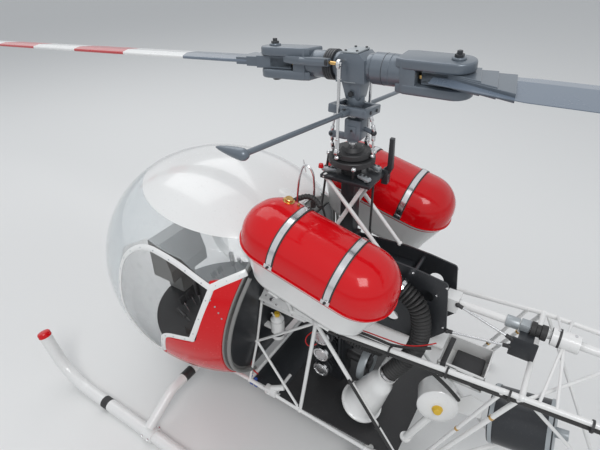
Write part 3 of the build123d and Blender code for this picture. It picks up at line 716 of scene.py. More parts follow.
class Maker:
    """Shapes of one piece, given in millimetres and joined in one mesh."""

    def __init__(self, name: str, home: Matrix | None = None) -> None:
        """Start an empty piece.

        Args:
            name: The piece's name.
            home: Place that all its shapes are given in.
        """
        self.name = name
        self.home = home or Matrix()
        self.mesh = bmesh.new()

    def join(self, shape: bmesh.types.BMesh, place: Matrix | None = None) -> None:
        """Add a finished shape at a place.

        Args:
            shape: The shape, which is freed.
            place: Where it goes.
        """
        bmesh.ops.transform(shape, matrix=self.home @ (place or Matrix()), verts=shape.verts)
        scrap = bpy.data.meshes.new("scrap")
        shape.to_mesh(scrap)
        shape.free()
        self.mesh.from_mesh(scrap)
        bpy.data.meshes.remove(scrap)

    @staticmethod
    def soften(shape: bmesh.types.BMesh, edges: list, offset: float, segments: int = 2) -> None:
        """Round some edges of a shape.

        Args:
            shape: The shape.
            edges: The edges.
            offset: Radius.
            segments: Steps in the round.
        """
        bmesh.ops.bevel(
            shape,
            geom=edges,
            offset=offset,
            offset_type="OFFSET",
            segments=segments,
            profile=0.5,
            affect="EDGES",
            clamp_overlap=True,
            material=-1,
        )

    def box(
        self, centre: Point, size: Point, soft: float = 0.8, turn: Matrix | None = None,
    ) -> None:
        """Block with rounded edges.

        Args:
            centre: Its middle.
            size: Its length along each axis.
            soft: Radius of its edges.
            turn: Turn about its middle.
        """
        shape = bmesh.new()
        bmesh.ops.create_cube(shape, size=1.0, matrix=Matrix.Diagonal((*size, 1.0)))
        if soft:
            self.soften(shape, shape.edges[:], soft)
        self.join(shape, Matrix.Translation(centre) @ (turn or Matrix()))

    def rod(
        self, start: Point, end: Point, radius: float, tip: float | None = None,
        soft: float = 0.0, sides: int = 20,
    ) -> None:
        """Round rod or cone from one point to another.

        Args:
            start: Middle of its first end.
            end: Middle of its last end.
            radius: Radius at the start.
            tip: Radius at the end, where it differs.
            soft: Radius of its rims.
            sides: Faces round it.
        """
        length = (Vector(end) - Vector(start)).length
        shape = bmesh.new()
        bmesh.ops.create_cone(
            shape, cap_ends=True, segments=sides, radius1=radius,
            radius2=radius if tip is None else tip, depth=length,
            matrix=Matrix.Translation((0, 0, length / 2)),
        )
        if soft:
            rims = [e for e in shape.edges if any(len(f.verts) > 4 for f in e.link_faces)]
            self.soften(shape, rims, soft)
        self.join(shape, along(start, end))

    def ball(self, centre: Point, radius: float, scale: Point = (1, 1, 1)) -> None:
        """Ball or egg.

        Args:
            centre: Its middle.
            radius: Its radius.
            scale: Stretch along each axis.
        """
        shape = bmesh.new()
        bmesh.ops.create_uvsphere(shape, u_segments=18, v_segments=12, radius=radius)
        self.join(shape, Matrix.Translation(centre) @ Matrix.Diagonal((*scale, 1.0)))

    def lathe(self, outline: list, start: Point, end: Point, sides: int = 32) -> None:
        """Turned shape about the line from start towards end.

        Args:
            outline: Radius and height of each point, from axis to axis.
            start: Where height is zero.
            end: A point further along the axis.
            sides: Faces round it.
        """
        shape = bmesh.new()
        dots = [shape.verts.new((radius, 0, height)) for radius, height in outline]
        edges = [shape.edges.new(pair) for pair in zip(dots, dots[1:])]
        bmesh.ops.spin(
            shape, geom=dots + edges, cent=(0, 0, 0), axis=(0, 0, 1), angle=math.tau,
            steps=sides, use_merge=True,
        )
        bmesh.ops.remove_doubles(shape, verts=shape.verts, dist=0.001)
        bmesh.ops.recalc_face_normals(shape, faces=shape.faces)
        self.join(shape, along(start, end))

    def collar(
        self, start: Point, end: Point, inner: float, outer: float, low: float, high: float,
        sides: int = 24,
    ) -> None:
        """Square-edged sleeve about the line from start towards end.

        Args:
            start: Where height is zero.
            end: A point further along the axis.
            inner: Radius of its bore.
            outer: Radius of its outside.
            low: Height of its lower face.
            high: Height of its upper face.
            sides: Faces round it.
        """
        square = [(inner, low), (outer, low), (outer, high), (inner, high), (inner, low)]
        self.lathe(square, start, end, sides)

    def ring(
        self, centre: Point, axis: Point, radius: float, thickness: float, sides: int = 24,
    ) -> None:
        """Round ring of wire about an axis.

        Args:
            centre: Its middle.
            axis: Its axis.
            radius: Its radius.
            thickness: Radius of the wire.
            sides: Faces round it.
        """
        dots = [
            (radius + thickness * math.cos(a), thickness * math.sin(a))
            for a in (math.tau * i / 8 for i in range(9))
        ]
        self.lathe(dots, centre, Vector(centre) + Vector(axis), sides)

    def prism(
        self, outline: list, low: float, high: float, place: Matrix | None = None,
        soft: float = 0.0, segments: int = 2,
    ) -> None:
        """Plate of a flat outline.

        Args:
            outline: Points in the place's XY.
            low: Height of its lower face.
            high: Height of its upper face.
            place: Where it stands.
            soft: Radius of its rims.
            segments: Steps in a rounded rim.
        """
        shape = bmesh.new()
        base = shape.faces.new([shape.verts.new((*point, low)) for point in outline])
        grown = bmesh.ops.extrude_face_region(shape, geom=[base])
        raised = [v for v in grown["geom"] if isinstance(v, bmesh.types.BMVert)]
        bmesh.ops.translate(shape, vec=(0, 0, high - low), verts=raised)
        bmesh.ops.recalc_face_normals(shape, faces=shape.faces)
        if soft:
            rims = [e for e in shape.edges if abs(e.verts[0].co.z - e.verts[1].co.z) < 1e-6]
            self.soften(shape, rims, soft, segments)
        self.join(shape, place)

    def pipe(self, points: list, radius: float) -> None:
        """Smooth bent tube or wire.

        Args:
            points: Control points.
            radius: Its radius.
        """
        holder = bpy.data.objects.new("line", smooth_curve(points, radius))
        tube = bpy.data.meshes.new_from_object(holder)
        bpy.data.objects.remove(holder)
        shape = bmesh.new()
        shape.from_mesh(tube)
        bmesh.ops.recalc_face_normals(shape, faces=shape.faces)
        self.join(shape)

    def plan_band(self, length: float, width: float, corner: float, proud: float) -> None:
        """Flat lip round a rounded rectangle, at the place's own height.

        Args:
            length: The rectangle's length.
            width: Its width.
            corner: Radius of its corners.
            proud: How far the lip stands out.
        """
        shape = bmesh.new()
        size = Matrix.Diagonal((length + proud * 2, width + proud * 2, 1.6, 1.0))
        bmesh.ops.create_cube(shape, size=1.0, matrix=size)
        self.soften(shape, edges_where(shape, lambda a, b: abs(a.z - b.z) > 1), corner + proud, 12)
        self.join(shape)

    def ribbed(self, points: list, radius: float, ribs: int) -> None:
        """Corrugated hose along a smooth line.

        Args:
            points: Control points of the line.
            radius: Radius over the ribs.
            ribs: How many ribs it has.
        """
        line = route(points, ribs)
        spacing = (line[1] - line[0]).length
        for a, b in zip(line, line[1:]):
            low, high = radius * 0.84, radius
            rib = [
                (0, -spacing * 0.1), (low, 0), (high, spacing * 0.28), (high, spacing * 0.62),
                (low, spacing * 0.95), (0, spacing * 1.1),
            ]
            self.lathe(rib, a, b, 22)

    def done(
        self, finish: Finish, body: Body = Body.AIRFRAME,
        replaces: str = "", slot: str = "",
    ) -> bpy.types.Object:
        """Turn the shapes into an object that rides on a body.

        Args:
            finish: Its finish.
            body: The body that carries it.
            replaces: Names of the CAD nodes that it stands for.
            slot: The record's material slot, where it isn't the finish's own; it is worked out but
                not kept.

        Returns:
            The object.
        """
        bmesh.ops.scale(self.mesh, vec=(MM, MM, MM), verts=self.mesh.verts)
        for face in self.mesh.faces:
            face.smooth = True
        for edge in self.mesh.edges:
            edge.smooth = edge.calc_face_angle(0.0) < SHARP_ANGLE
        data = bpy.data.meshes.new(self.name)
        self.mesh.to_mesh(data)
        self.mesh.free()
        piece = bpy.data.objects.new(self.name, data)
        bpy.context.scene.collection.objects.link(piece)
        WARDROBE.dress(piece, finish)
        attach(piece, body.value)
        for node in replaces.split():
            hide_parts(node)
        if not replaces:
            slot or OTHER_SLOT.get(finish.name, finish.name)
        log.info("made %s", self.name)
        return piece


@dataclass
class FuelTanks:
    """Two saddle tanks with a lip at the seam, on cradles under bright straps."""

    centre: Point = (11.0, 119.0, 464.0)
    slope: float = math.radians(14.0)
    length: float = 238.0
    width: float = 108.0
    corner: float = 52.0
    rise: float = 60.0
    crown: float = 46.0
    drop: float = 84.0
    sole: float = 26.0
    draft: float = math.radians(15.0)
    strap_spread: float = 45.0

    def home(self, side: int) -> Matrix:
        """Place on a tank's seam, its X along the tank.

        Args:
            side: -1 for port, 1 for starboard.

        Returns:
            The place.
        """
        x, y, z = self.centre
        ahead = (math.cos(self.slope), 0.0, -math.sin(self.slope))
        return axes_at((x, side * y, z), ahead, (math.sin(self.slope), 0.0, math.cos(self.slope)))

    def half(self, maker: Maker, height: float, draft: float, rim: float, turn: Matrix) -> None:
        """Add the moulding on one side of the seam.

        Args:
            maker: The piece.
            height: How far it reaches from the seam.
            draft: How much its walls lean in.
            rim: Radius of its far rim.
            turn: Which way it faces.
        """
        shape = bmesh.new()
        size = Matrix.Diagonal((self.length, self.width, height, 1.0))
        bmesh.ops.create_cube(shape, size=1.0, matrix=Matrix.Translation((0, 0, height / 2)) @ size)
        Maker.soften(shape, edges_where(shape, lambda a, b: abs(a.z - b.z) > 1), self.corner, 12)
        lean = height * math.tan(draft)
        for vert in shape.verts:
            if vert.co.z > height / 2:
                vert.co.x *= 1 - 2 * lean / self.length
                vert.co.y *= 1 - 2 * lean / self.width
        Maker.soften(shape, edges_where(shape, lambda a, b: min(a.z, b.z) > height - 0.01), rim, 10)
        maker.join(shape, turn)

    def arch(self, grow: float) -> list:
        """Outline y, z of the crown seen from its end, from lip to lip.

        Args:
            grow: How far it stands off the crown.

        Returns:
            The points.
        """
        flat = self.width / 2 - self.crown
        low = self.rise - self.crown
        radius = self.crown + grow
        arcs = [
            (side * flat + radius * math.cos(a), low + radius * math.sin(a))
            for side, first in ((1, 0), (-1, 90))
            for a in (math.radians(first + 10 * i) for i in range(10))
        ]
        reach = self.width / 2 + grow
        return [(reach, 1.2), *arcs, (-reach, 1.2)]

    def strap(self, maker: Maker, x: float, width: float, inner: float, outer: float) -> None:
        """Add one band over the crown.

        Args:
            maker: The piece.
            x: Place along the tank.
            width: Its width.
            inner: Gap under it.
            outer: Height of its top.
        """
        across = Matrix(((0, 0, 1), (1, 0, 0), (0, 1, 0))).to_4x4()
        outline = self.arch(outer) + self.arch(inner)[::-1]
        maker.prism(outline, x - width / 2, x + width / 2, across)

    def build(self) -> None:
        """Make the tanks with their straps, fittings and cradles."""
        for side, name in SIDES.items():
            home = self.home(side)
            shell = Maker(f"tank_{name}", home)
            self.half(shell, self.rise, 0.0, self.crown, Matrix())
            self.half(shell, self.drop, self.draft, self.sole, Matrix.Rotation(math.pi, 4, "X"))
            shell.plan_band(self.length, self.width, self.corner, 1.6)
            shell.done(TANK_PAINT, replaces=f"fuel_tank_{name}")
            bright = Maker(f"tank_straps_{name}", home)
            edging = Maker(f"strap_edging_{name}", home)
            for x in (-self.strap_spread, self.strap_spread):
                self.strap(bright, x, 8.0, 0.2, 1.6)
                self.strap(edging, x, 12.0, 0.1, 0.9)
                for end in (-1, 1):
                    y = end * (self.width / 2 + 1.4)
                    bright.box((x, y, 3.0), (13, 2.6, 7), 0.6)
                    edging.rod((x, y, 3.5), (x, y + end * 3.6, 3.5), 2.0, soft=0.5, sides=8)
            bright.done(BRIGHT_STEEL, replaces="tank_straps")
            edging.done(RUBBER)
        self.cradles()
        self.vent()
        self.filler()

    def cradles(self) -> None:
        """Make the saddles under the tanks and their posts."""
        stands = Maker("cradles")
        for side in SIDES:
            for x in (-self.strap_spread, self.strap_spread):
                top = self.home(side) @ Vector((x, 0, -self.drop - 1.5))
                stands.box(top, (18, 44, 4), 1.0, Matrix.Rotation(self.slope, 4, "Y"))
                foot = (top.x, side * 92.0, 319.0)
                stands.rod(foot, top, 3.5)
                stands.rod(foot, (top.x, side * 92.0, 325.0), 6.0, soft=1.0)
        stands.done(FRAME_WHITE, replaces="tank_cradles")

    def vent(self) -> None:
        """Make the bent vent tube and the ribbed hose beside the port tank."""
        tube = Maker("vent_tube")
        bend = [
            (-50, -72, 512), (-48, -73, 548), (-37, -74, 588), (-22, -74, 580), (-24, -66, 552),
            (-30, -58, 520),
        ]
        tube.pipe(bend, 1.5)
        tube.rod((-33, -74, 574), (-36, -75, 592), 0.8)
        tube.done(BRIGHT_STEEL)
        hose = Maker("vent_hose")
        hose.ribbed([(-62, -76, 515), (-48, -66, 528), (-28, -60, 530), (-14, -66, 520)], 4.2, 13)
        hose.rod((-30, -60, 512), (-30, -60, 522), 4.0, soft=0.8)
        hose.done(RUBBER)

    def filler(self) -> None:
        """Make the filler neck and its small fitting on each tank."""
        for side, name in SIDES.items():
            neck = Maker(f"filler_{name}", self.home(side))
            x, y, z = -72.0, -side * 18.0, self.rise - 1.0
            outline = [(0, 5), (5.2, 5), (6.0, 4.2), (6.0, 1.0), (8.5, 0.6), (8.5, -1), (0, -1)]
            neck.lathe(outline, (x, y, z), (x, y, z + 1), 20)
            neck.rod((x + 16, y, z - 2), (x + 16, y, z + 4), 2.2, 1.6, soft=0.3, sides=10)
            neck.done(BRASS)


@dataclass
class RotorHead:
    """Hub, bearing rings, forked grips, bolts and the doubler plates of the blades."""

    height: float = 703.0
    azimuth: float = math.radians(-2.3)
    tilt: float = math.radians(2.5)
    droop: float = math.radians(1.4)
    pitch: float = math.radians(4.5)
    fork: float = 20.5
    slot: float = 8.8
    bolt_r: float = 131.0

    def head(self) -> Matrix:
        """Place at the hub's middle, its X along the aft blade.

        Returns:
            The place.
        """
        return tilted_axes(self.height, self.azimuth, self.tilt)

    def grip(self, side: int) -> Matrix:
        """Place through a blade's root: X outward, Y to the trailing edge, Z up.

        Args:
            side: 1 for the aft blade, -1 for the forward one.

        Returns:
            The place.
        """
        head = self.head().to_3x3()
        level, leading = head.col[0] * side, head.col[1] * side
        out = Quaternion(leading, self.droop) @ level
        turned = Quaternion(out, self.pitch) @ leading
        return axes_at((0, 0, self.height), out, turned.cross(out))

    def build(self) -> None:
        """Make the hub and both grips."""
        self.hub()
        body = Maker("grips")
        black = Maker("grip_bearings")
        bright = Maker("grip_fasteners")
        brass = Maker("grip_bushes")
        plates = Maker("blade_doublers")
        for side in SIDES:
            home = self.grip(side)
            for maker in (body, black, bright, brass, plates):
                maker.home = home
            self.grip_body(body, side)
            self.bearing(black, side)
            self.fasteners(black, bright, brass)
            self.doublers(plates)
        ride = Body.MAIN_ROTOR
        body.done(ROTOR_GREY, ride, "blade_grips")
        black.done(BLACK_METAL, ride)
        bright.done(BRIGHT_STEEL, ride)
        brass.done(BRASS, ride)
        plates.done(ROTOR_GREY, ride)

    def hub(self) -> None:
        """Make the hub block with its cap plate, waist and collar."""
        hub = Maker("hub", self.head())
        outline = [(-21, -18), (21, -18), (21, 10.5), (13.5, 18), (-13.5, 18), (-21, 10.5)]
        hub.prism(outline, -18, 18, side_view(), 0.8)
        waist = bmesh.new()
        bmesh.ops.create_cone(
            waist, cap_ends=True, segments=4, radius1=14.8, radius2=21.2, depth=26.0,
            matrix=Matrix.Translation((0, 0, -29)) @ Matrix.Rotation(math.pi / 4, 4, "Z"),
        )
        Maker.soften(waist, waist.edges[:], 2.0, 3)
        hub.join(waist)
        hub.rod((0, 0, -50), (0, 0, -38), 12, soft=0.8, sides=28)
        for side in SIDES:
            hub.rod((side * 20, 0, 0), (side * 26.5, 0, 0), 16.5, soft=0.6, sides=32)
        hub.done(ROTOR_GREY, Body.MAIN_ROTOR, "hub_block")
        cap = Maker("hub_cap", self.head())
        cap.box((0, 0, 19.3), (22, 33, 2.6), 0.9)
        cap.box((0, -18.2, -17), (17, 0.5, 0.8), 0)
        cap.done(LIGHT_GREY, Body.MAIN_ROTOR, slot="rotor_grey")
        bolts = Maker("hub_bolts", self.head())
        for x, y in ((-8, -13), (8, -13), (-8, 13), (8, 13)):
            bolts.rod((x, y, 20.4), (x, y, 22.0), 1.7, soft=0.3, sides=10)
        for side in SIDES:
            bolts.rod((0, side * 12, -33), (0, side * 17, -33), 3.9, soft=0.8, sides=6)
            bolts.rod((0, side * 16, -33), (0, side * 18, -33), 2.2, soft=0.4, sides=12)
        bolts.done(BLACK_METAL, Body.MAIN_ROTOR)

    def grip_body(self, maker: Maker, side: int) -> None:
        """Add a grip's neck, web, two ears and pitch horn.

        Args:
            maker: The piece.
            side: Which blade.
        """
        fork, slot, bolt = self.fork, self.slot, self.bolt_r
        start = 41.0 if side < 0 else 27.2
        collar = [
            (0, start), (18.6, start), (19.5, start + 1), (19.5, 52), (19.0, 52.6), (19.5, 53.2),
        ]
        if side < 0:
            collar = [(0, start), (17.0, start), (17.5, start + 1), (17.5, 53)]
        maker.lathe([*collar, (18.6, 74), (0, 74)], (0, 0, 0), (1, 0, 0), 40)
        rounded = [
            (bolt + fork * math.sin(a), -fork * math.cos(a))
            for a in (math.radians(15 * i) for i in range(13))
        ]
        ear = [(62, -fork * 0.8), (74, -fork), *rounded, (74, fork), (62, fork * 0.8)]
        maker.prism(ear, slot, fork + 0.5, None, 2.4, 3)
        maker.prism(ear, -fork - 0.5, -slot, None, 2.4, 3)
        maker.box((78, 0, 0), (20, fork * 2 - 2, fork * 2 - 2), 1.6)
        horn = [(104, -18), (70, -18), (25, -22), (25, -29), (58, -30), (90, -24)]
        maker.prism(horn, -11, -1, None, 1.2)
        maker.rod((70, -26, -6), (27, -25.5, -6), 5.2, 4.2, soft=0.6)
        for up in (-1, 1):
            height = up * (fork + 0.5)
            maker.rod((bolt, 0, height), (bolt, 0, height + up * 2.6), 8.6, 8.0, soft=0.7, sides=28)

    def bearing(self, maker: Maker, side: int) -> None:
        """Add the dark bearing ring between the hub and a grip.

        Args:
            maker: The piece.
            side: Which blade.
        """
        if side < 0:
            rings = [(0, 26.5), (17.5, 26.5)]
            for step in range(4):
                x = 27.0 + step * 3.6
                rings += [(19.8, x + 0.4), (19.8, x + 2.6), (18.8, x + 3.0)]
            maker.lathe([*rings, (0, 41.2)], (0, 0, 0), (1, 0, 0), 40)
        else:
            maker.ring((43.5, 0, 0), (1, 0, 0), 19.3, 0.5, 40)
        maker.rod((30.5, -25.5, -6), (26.0, -25.5, -6), 5.4, soft=0.8)

    def fasteners(self, black: Maker, bright: Maker, brass: Maker) -> None:
        """Add a grip's bolt, its nuts and the bushes in the slot.

        Args:
            black: Dark piece.
            bright: Steel piece.
            brass: Brass piece.
        """
        bolt, top = self.bolt_r, self.fork
        black.rod((bolt, 0, top), (bolt, 0, top + 5.5), 5.8, soft=0.8, sides=6)
        black.rod((bolt, 0, -top - 6.5), (bolt, 0, -top), 5.6, soft=0.8, sides=6)
        black.rod((bolt, 0, -top - 10), (bolt, 0, -top), 3.2, soft=0.4, sides=14)
        bright.rod((bolt, 0, -18), (bolt, 0, 18), 4.0)
        brass.rod((27, -25.5, -6), (12.6, -27.5, -5.2), 2.3, soft=0.3, sides=14)
        for y in (-9, 9):
            brass.rod((90, y, 0), (97, y, 0), 3.8, soft=0.6, sides=6)
            bright.rod((96, y, 0), (100, y, 0), 2.4, soft=0.3, sides=12)

    def doublers(self, maker: Maker) -> None:
        """Add the stepped plates on a blade's root.

        Args:
            maker: The piece.
        """
        half, slant_r = 14.0, self.bolt_r - 6
        slope = (42.16 - half) / (200.0 - slant_r)
        for end_r, thick in ((165.0, 16.6), (184.0, 13.4), (204.0, 10.2)):
            outline = [
                (94, -half), (self.bolt_r, -half), (end_r - 12, -half - 4),
                (end_r, half + (end_r - slant_r) * slope - 3), (slant_r, half), (94, half),
            ]
            maker.prism(outline, -thick / 2, thick / 2, None, 0.5, 1)


@dataclass
class Linkage:
    """Stabiliser bar, washout levers, swashplate and the links between them."""

    head: RotorHead
    swash: float = 578.0
    washout: float = 620.0
    bar_height: float = 645.0
    bar_azimuth: float = math.radians(-92.3)
    bar_tilt: float = math.radians(5.2)
    half_span: float = 230.0
    arm_reach: float = 31.0
    link_angle: float = math.radians(73.1)

    def build(self) -> None:
        """Make the turning and the standing parts."""
        self.stabiliser()
        self.washout_levers()
        self.upper_ring()
        self.links()
        self.lower_ring()

    def stabiliser(self) -> None:
        """Make the bar with its yoke and two pointed weights."""
        bar = Maker("stabiliser", tilted_axes(self.bar_height, self.bar_azimuth, self.bar_tilt))
        for y in (-25.5, 25.5):
            bar.box((0, y, 2), (44, 7, 12), 1.6)
        for side in SIDES:
            bar.box((side * 18.5, 0, 2), (7, 50, 12), 1.6)
            bar.rod((side * 20, 0, 0), (side * 36, 0, 0), 5.6, 4.4, soft=0.8)
            bar.rod((side * 34, 0, 0), (side * self.half_span, 0, 0), 3.2, sides=14)
            tip = [
                (0, -7), (3.2, -6.2), (5.6, -3.6), (6.6, 0), (6.2, 8), (4.6, 20), (2.6, 31),
                (1.0, 36), (0, 36.5),
            ]
            end = (side * self.half_span, 0, 0)
            bar.lathe(tip, end, (side * self.half_span, -side, 0), 24)
        bar.rod((0, -25, 0), (0, 25, 0), 3.0)
        bar.rod((0, 0, -7), (0, 0, 7), 10.5, soft=0.8, sides=28)
        bar.done(ROTOR_GREY, Body.MAIN_ROTOR, "stabiliser_bar")
        bolts = Maker("yoke_bolts", bar.home)
        for side in SIDES:
            bolts.rod((side * 29, 0, 4), (side * 29, 0, 6.6), 2.2, soft=0.4, sides=8)
            for y in (-1, 1):
                bolts.rod((side * 9, y * 28.6, 2), (side * 9, y * 30.4, 2), 2.4, soft=0.4, sides=8)
        bolts.done(BLACK_METAL, Body.MAIN_ROTOR)

    def washout_levers(self) -> None:
        """Make the clamped block and its two levers."""
        z = self.washout
        block = Maker("washout")
        block.box((4, 0, z), (25, 26, 30), 2.6)
        block.lathe([(6, -20), (8.6, -20), (8.6, -13), (6, -13)], (0, 0, z), (0, 0, z + 1), 24)
        block.box((4, -13.6, z), (13, 1.4, 12), 0.4)
        lever = [
            (x + 4.6 * math.cos(a), 4.6 * math.sin(a))
            for x, first in ((-9, -90), (-31, 90))
            for a in (math.radians(first + 30 * i) for i in range(7))
        ]
        block.prism(lever, 2, 8, side_view(z=z - 13), 0.8)
        block.rod((12, 4, z), (31, 0, z - 3), 3.2)
        block.done(ROTOR_GREY, Body.MAIN_ROTOR, "washout_block")
        pins = Maker("washout_pins")
        for x in (-31, -20):
            pins.rod((x, -9.6, z - 13), (x, -1, z - 13), 2.3, soft=0.4, sides=12)
        pins.rod((4, -15.4, z), (4, -13, z), 1.8, soft=0.4, sides=10)
        pins.ball((31, 0, z - 3), 4.2)
        pins.done(BLACK_METAL, Body.MAIN_ROTOR)

    @staticmethod
    def spoke(reach: float, angle: float, z: float) -> Point:
        """Point at a reach and an angle round the mast.

        Args:
            reach: Distance from the mast.
            angle: Angle round it.
            z: Height.

        Returns:
            The point.
        """
        return (reach * math.cos(angle), reach * math.sin(angle), z)

    def upper_ring(self) -> None:
        """Make the turning ring and its arms."""
        ring = Maker("upper_swashplate")
        z = self.swash
        outline = [
            (6.1, 0.4), (26, 0.4), (28, 1.8), (28, 8.2), (26.6, 9.6), (17, 9.6), (14, 15),
            (6.1, 15),
        ]
        ring.lathe(outline, (0, 0, z), (0, 0, z + 1), 36)
        for angle in self.arm_angles():
            tip = self.spoke(self.arm_reach, angle, z + 5)
            ring.rod((0, 0, z + 5), tip, 2.6)
        ring.done(BLACK_PLASTIC, Body.MAIN_ROTOR, "swashplate_upper")
        balls = Maker("swashplate_balls")
        for angle in self.arm_angles():
            balls.ball(self.spoke(self.arm_reach, angle, z + 5), 3.6)
        balls.done(BRIGHT_STEEL, Body.MAIN_ROTOR)

    def arm_angles(self) -> tuple[float, ...]:
        """Angles of the upper ring's arms.

        Returns:
            The angles in radians.
        """
        return (0.0, self.link_angle, math.pi, math.pi + self.link_angle)

    def links(self) -> None:
        """Make the long pitch links and the short washout links with their rod ends."""
        rods = Maker("links")
        ends = Maker("rod_ends")
        ball_z = self.swash + 5
        for side in SIDES:
            eye = self.head.grip(side) @ Vector((9, -28, -5))
            angle = self.link_angle + (0 if side > 0 else math.pi)
            foot = Vector(self.spoke(self.arm_reach, angle, ball_z + 9.0))
            axis = (eye - foot).normalized()
            rods.rod(foot + axis * 6, eye - axis * 6, 2.1, sides=14)
            rods.rod(eye - axis * 19, eye - axis * 17, 3.4, soft=0.3, sides=6)
            rods.rod(foot + axis * 17, foot + axis * 19, 3.4, soft=0.3, sides=6)
            ends.rod(eye - axis * 18, eye - axis * 3, 2.8, 3.4)
            ends.rod(foot + axis * 3, foot + axis * 17, 3.6, 2.8)
            for spot in (eye, foot):
                shell = [
                    (3.4, -2.4), (5.4, -2.4), (6.0, -1.6), (6.0, 1.6), (5.4, 2.4), (3.4, 2.4),
                    (3.4, -2.4),
                ]
                ends.lathe(shell, spot, spot + Vector((1, 0, 0)), 24)
                rods.ball(spot, 3.7)
        z = self.washout
        for foot, top in (
            ((-31.5, -2, ball_z + 4), (-31, -5, z - 18)),
            ((31, 0, ball_z + 4), (31, 0, z - 7)),
            ((-31, -5, z - 8), (-25.5, -5, 639)),
            ((31, 0, z + 1.5), (25.5, 0, 639)),
        ):
            rods.rod(foot, top, 1.5, sides=10)
            for share in (0.0, 1.0):
                spot = Vector(foot).lerp(Vector(top), 0.12 + 0.76 * share)
                axis = (Vector(top) - Vector(foot)).normalized() * 4
                ends.rod(spot - axis, spot + axis, 2.8, soft=0.5, sides=10)
        rods.done(BRIGHT_STEEL, Body.MAIN_ROTOR, "pitch_links")
        ends.done(BRIGHT_STEEL, Body.MAIN_ROTOR)

    def lower_ring(self) -> None:
        """Make the standing ring, its arms and push rods."""
        z = self.swash
        ring = Maker("lower_swashplate")
        outline = [(15, 0), (33, 0), (34, -1.4), (34, -8.4), (32.4, -9.5), (16, -9.5)]
        outline = [(6.6, -1), *outline, (15, -26), (6.6, -26), (6.6, -1)]
        ring.lathe(outline, (0, 0, z), (0, 0, z + 1), 40)
        rods = Maker("push_rods")
        balls = Maker("push_rod_balls")
        for angle in (math.radians(60), math.pi, math.radians(300)):
            tip = self.spoke(39, angle, z - 5)
            ring.rod((0, 0, z - 5), tip, 2.8)
            balls.ball(tip, 3.6)
        for line in (
            ((-39, 0, z - 9), (-50, 0, 479), (-30, 0, 418)),
            ((32, 10, 546), (32, 10, 456), (40, 6, 412)),
            ((19.5, 33.8, z - 6), (14, 24.2, 552)),
            ((19.5, -33.8, z - 6), (14, -24.2, 552)),
        ):
            for a, b in zip(line, line[1:]):
                rods.rod(a, b, 1.8, sides=12)
        rods.done(BLACK_PLASTIC)
        balls.done(BRIGHT_STEEL)
        ring.done(BLACK_PLASTIC, replaces="swashplate_lower")


@dataclass
class Tower:
    """Square mast tower with its head plate, crossing struts and servo arms."""

    top: float = 552.0
    case_z: float = 387.0

    def build(self) -> None:
        """Make the tower and its struts."""
        top = self.top
        tower = Maker("tower")
        tower.box((0, 0, (top + self.case_z) / 2), (22, 22, top - self.case_z), 1.2)
        tower.box((45, 0, self.case_z), (126, 43.6, 50), 2.0)
        tower.box((4, 0, top - 3), (80, 62, 6), 1.2)
        tower.box((0, 0, 440), (30, 30, 12), 1.0)
        tower.box((44, 26, top - 8), (10, 12, 24), 1.5)
        horn = [(36, 0), (48, 4), (54, 18), (52, 64), (46, 64), (46, 22), (38, 12), (30, 10)]
        tower.prism(horn, -30, -22, side_view(z=top - 12), 1.0)
        tower.done(BLACK_METAL, replaces="mast_tower")
        struts = Maker("struts")
        for side in SIDES:
            for head, foot in (
                ((-30, 26, top - 3), (78, 25, 434)), ((33, 19, top - 3), (-30, 24, 429)),
            ):
                a = (head[0], side * head[1], head[2])
                b = (foot[0], side * foot[1], foot[2])
                struts.rod(a, b, 3.2, sides=16)
                struts.ball(a, 4.4, (1, 1.2, 1))
                struts.ball(b, 4.2)
        struts.done(FRAME_WHITE, replaces="tower_struts")
        arms = Maker("servo_arms")
        screws = Maker("tower_screws")
        for x, y, turn in ((-28, -18, 20), (-30, 16, 200), (30, -20, -20), (28, 20, 160)):
            arms.box((x, y, top + 5), (22, 9, 6), 2.4, Matrix.Rotation(math.radians(turn), 4, "Z"))
            for offset in (-6, 0, 6):
                at = x + offset
                screws.rod((at, y, top + 7), (at, y, top + 9.2), 1.8, soft=0.4, sides=8)
        for x, y in ((-32, -27), (-32, 27), (40, -27), (40, 27)):
            screws.rod((x, y, top), (x, y, top + 1.6), 2.2, soft=0.4, sides=8)
        for x in (-8, 8):
            for z in (480, 520):
                screws.rod((x, -11.8, z), (x, -10.8, z), 1.6, soft=0.3, sides=8)
        arms.done(LIGHT_GREY)
        screws.done(BLACK_PLASTIC)
        cap = Maker("servo_cap")
        cap.rod((-38, -24, top + 7), (-38, -24, top + 13), 4.2, 3.4, soft=0.6, sides=14)
        cap.done(BODY_RED)


def mirrored(point: Point, side: int) -> Point:
    """The same point on one side of the middle plane.

    Args:
        point: The point.
        side: -1 for port, 1 for starboard.

    Returns:
        The point on that side.
    """
    return (point[0], side * point[1], point[2])


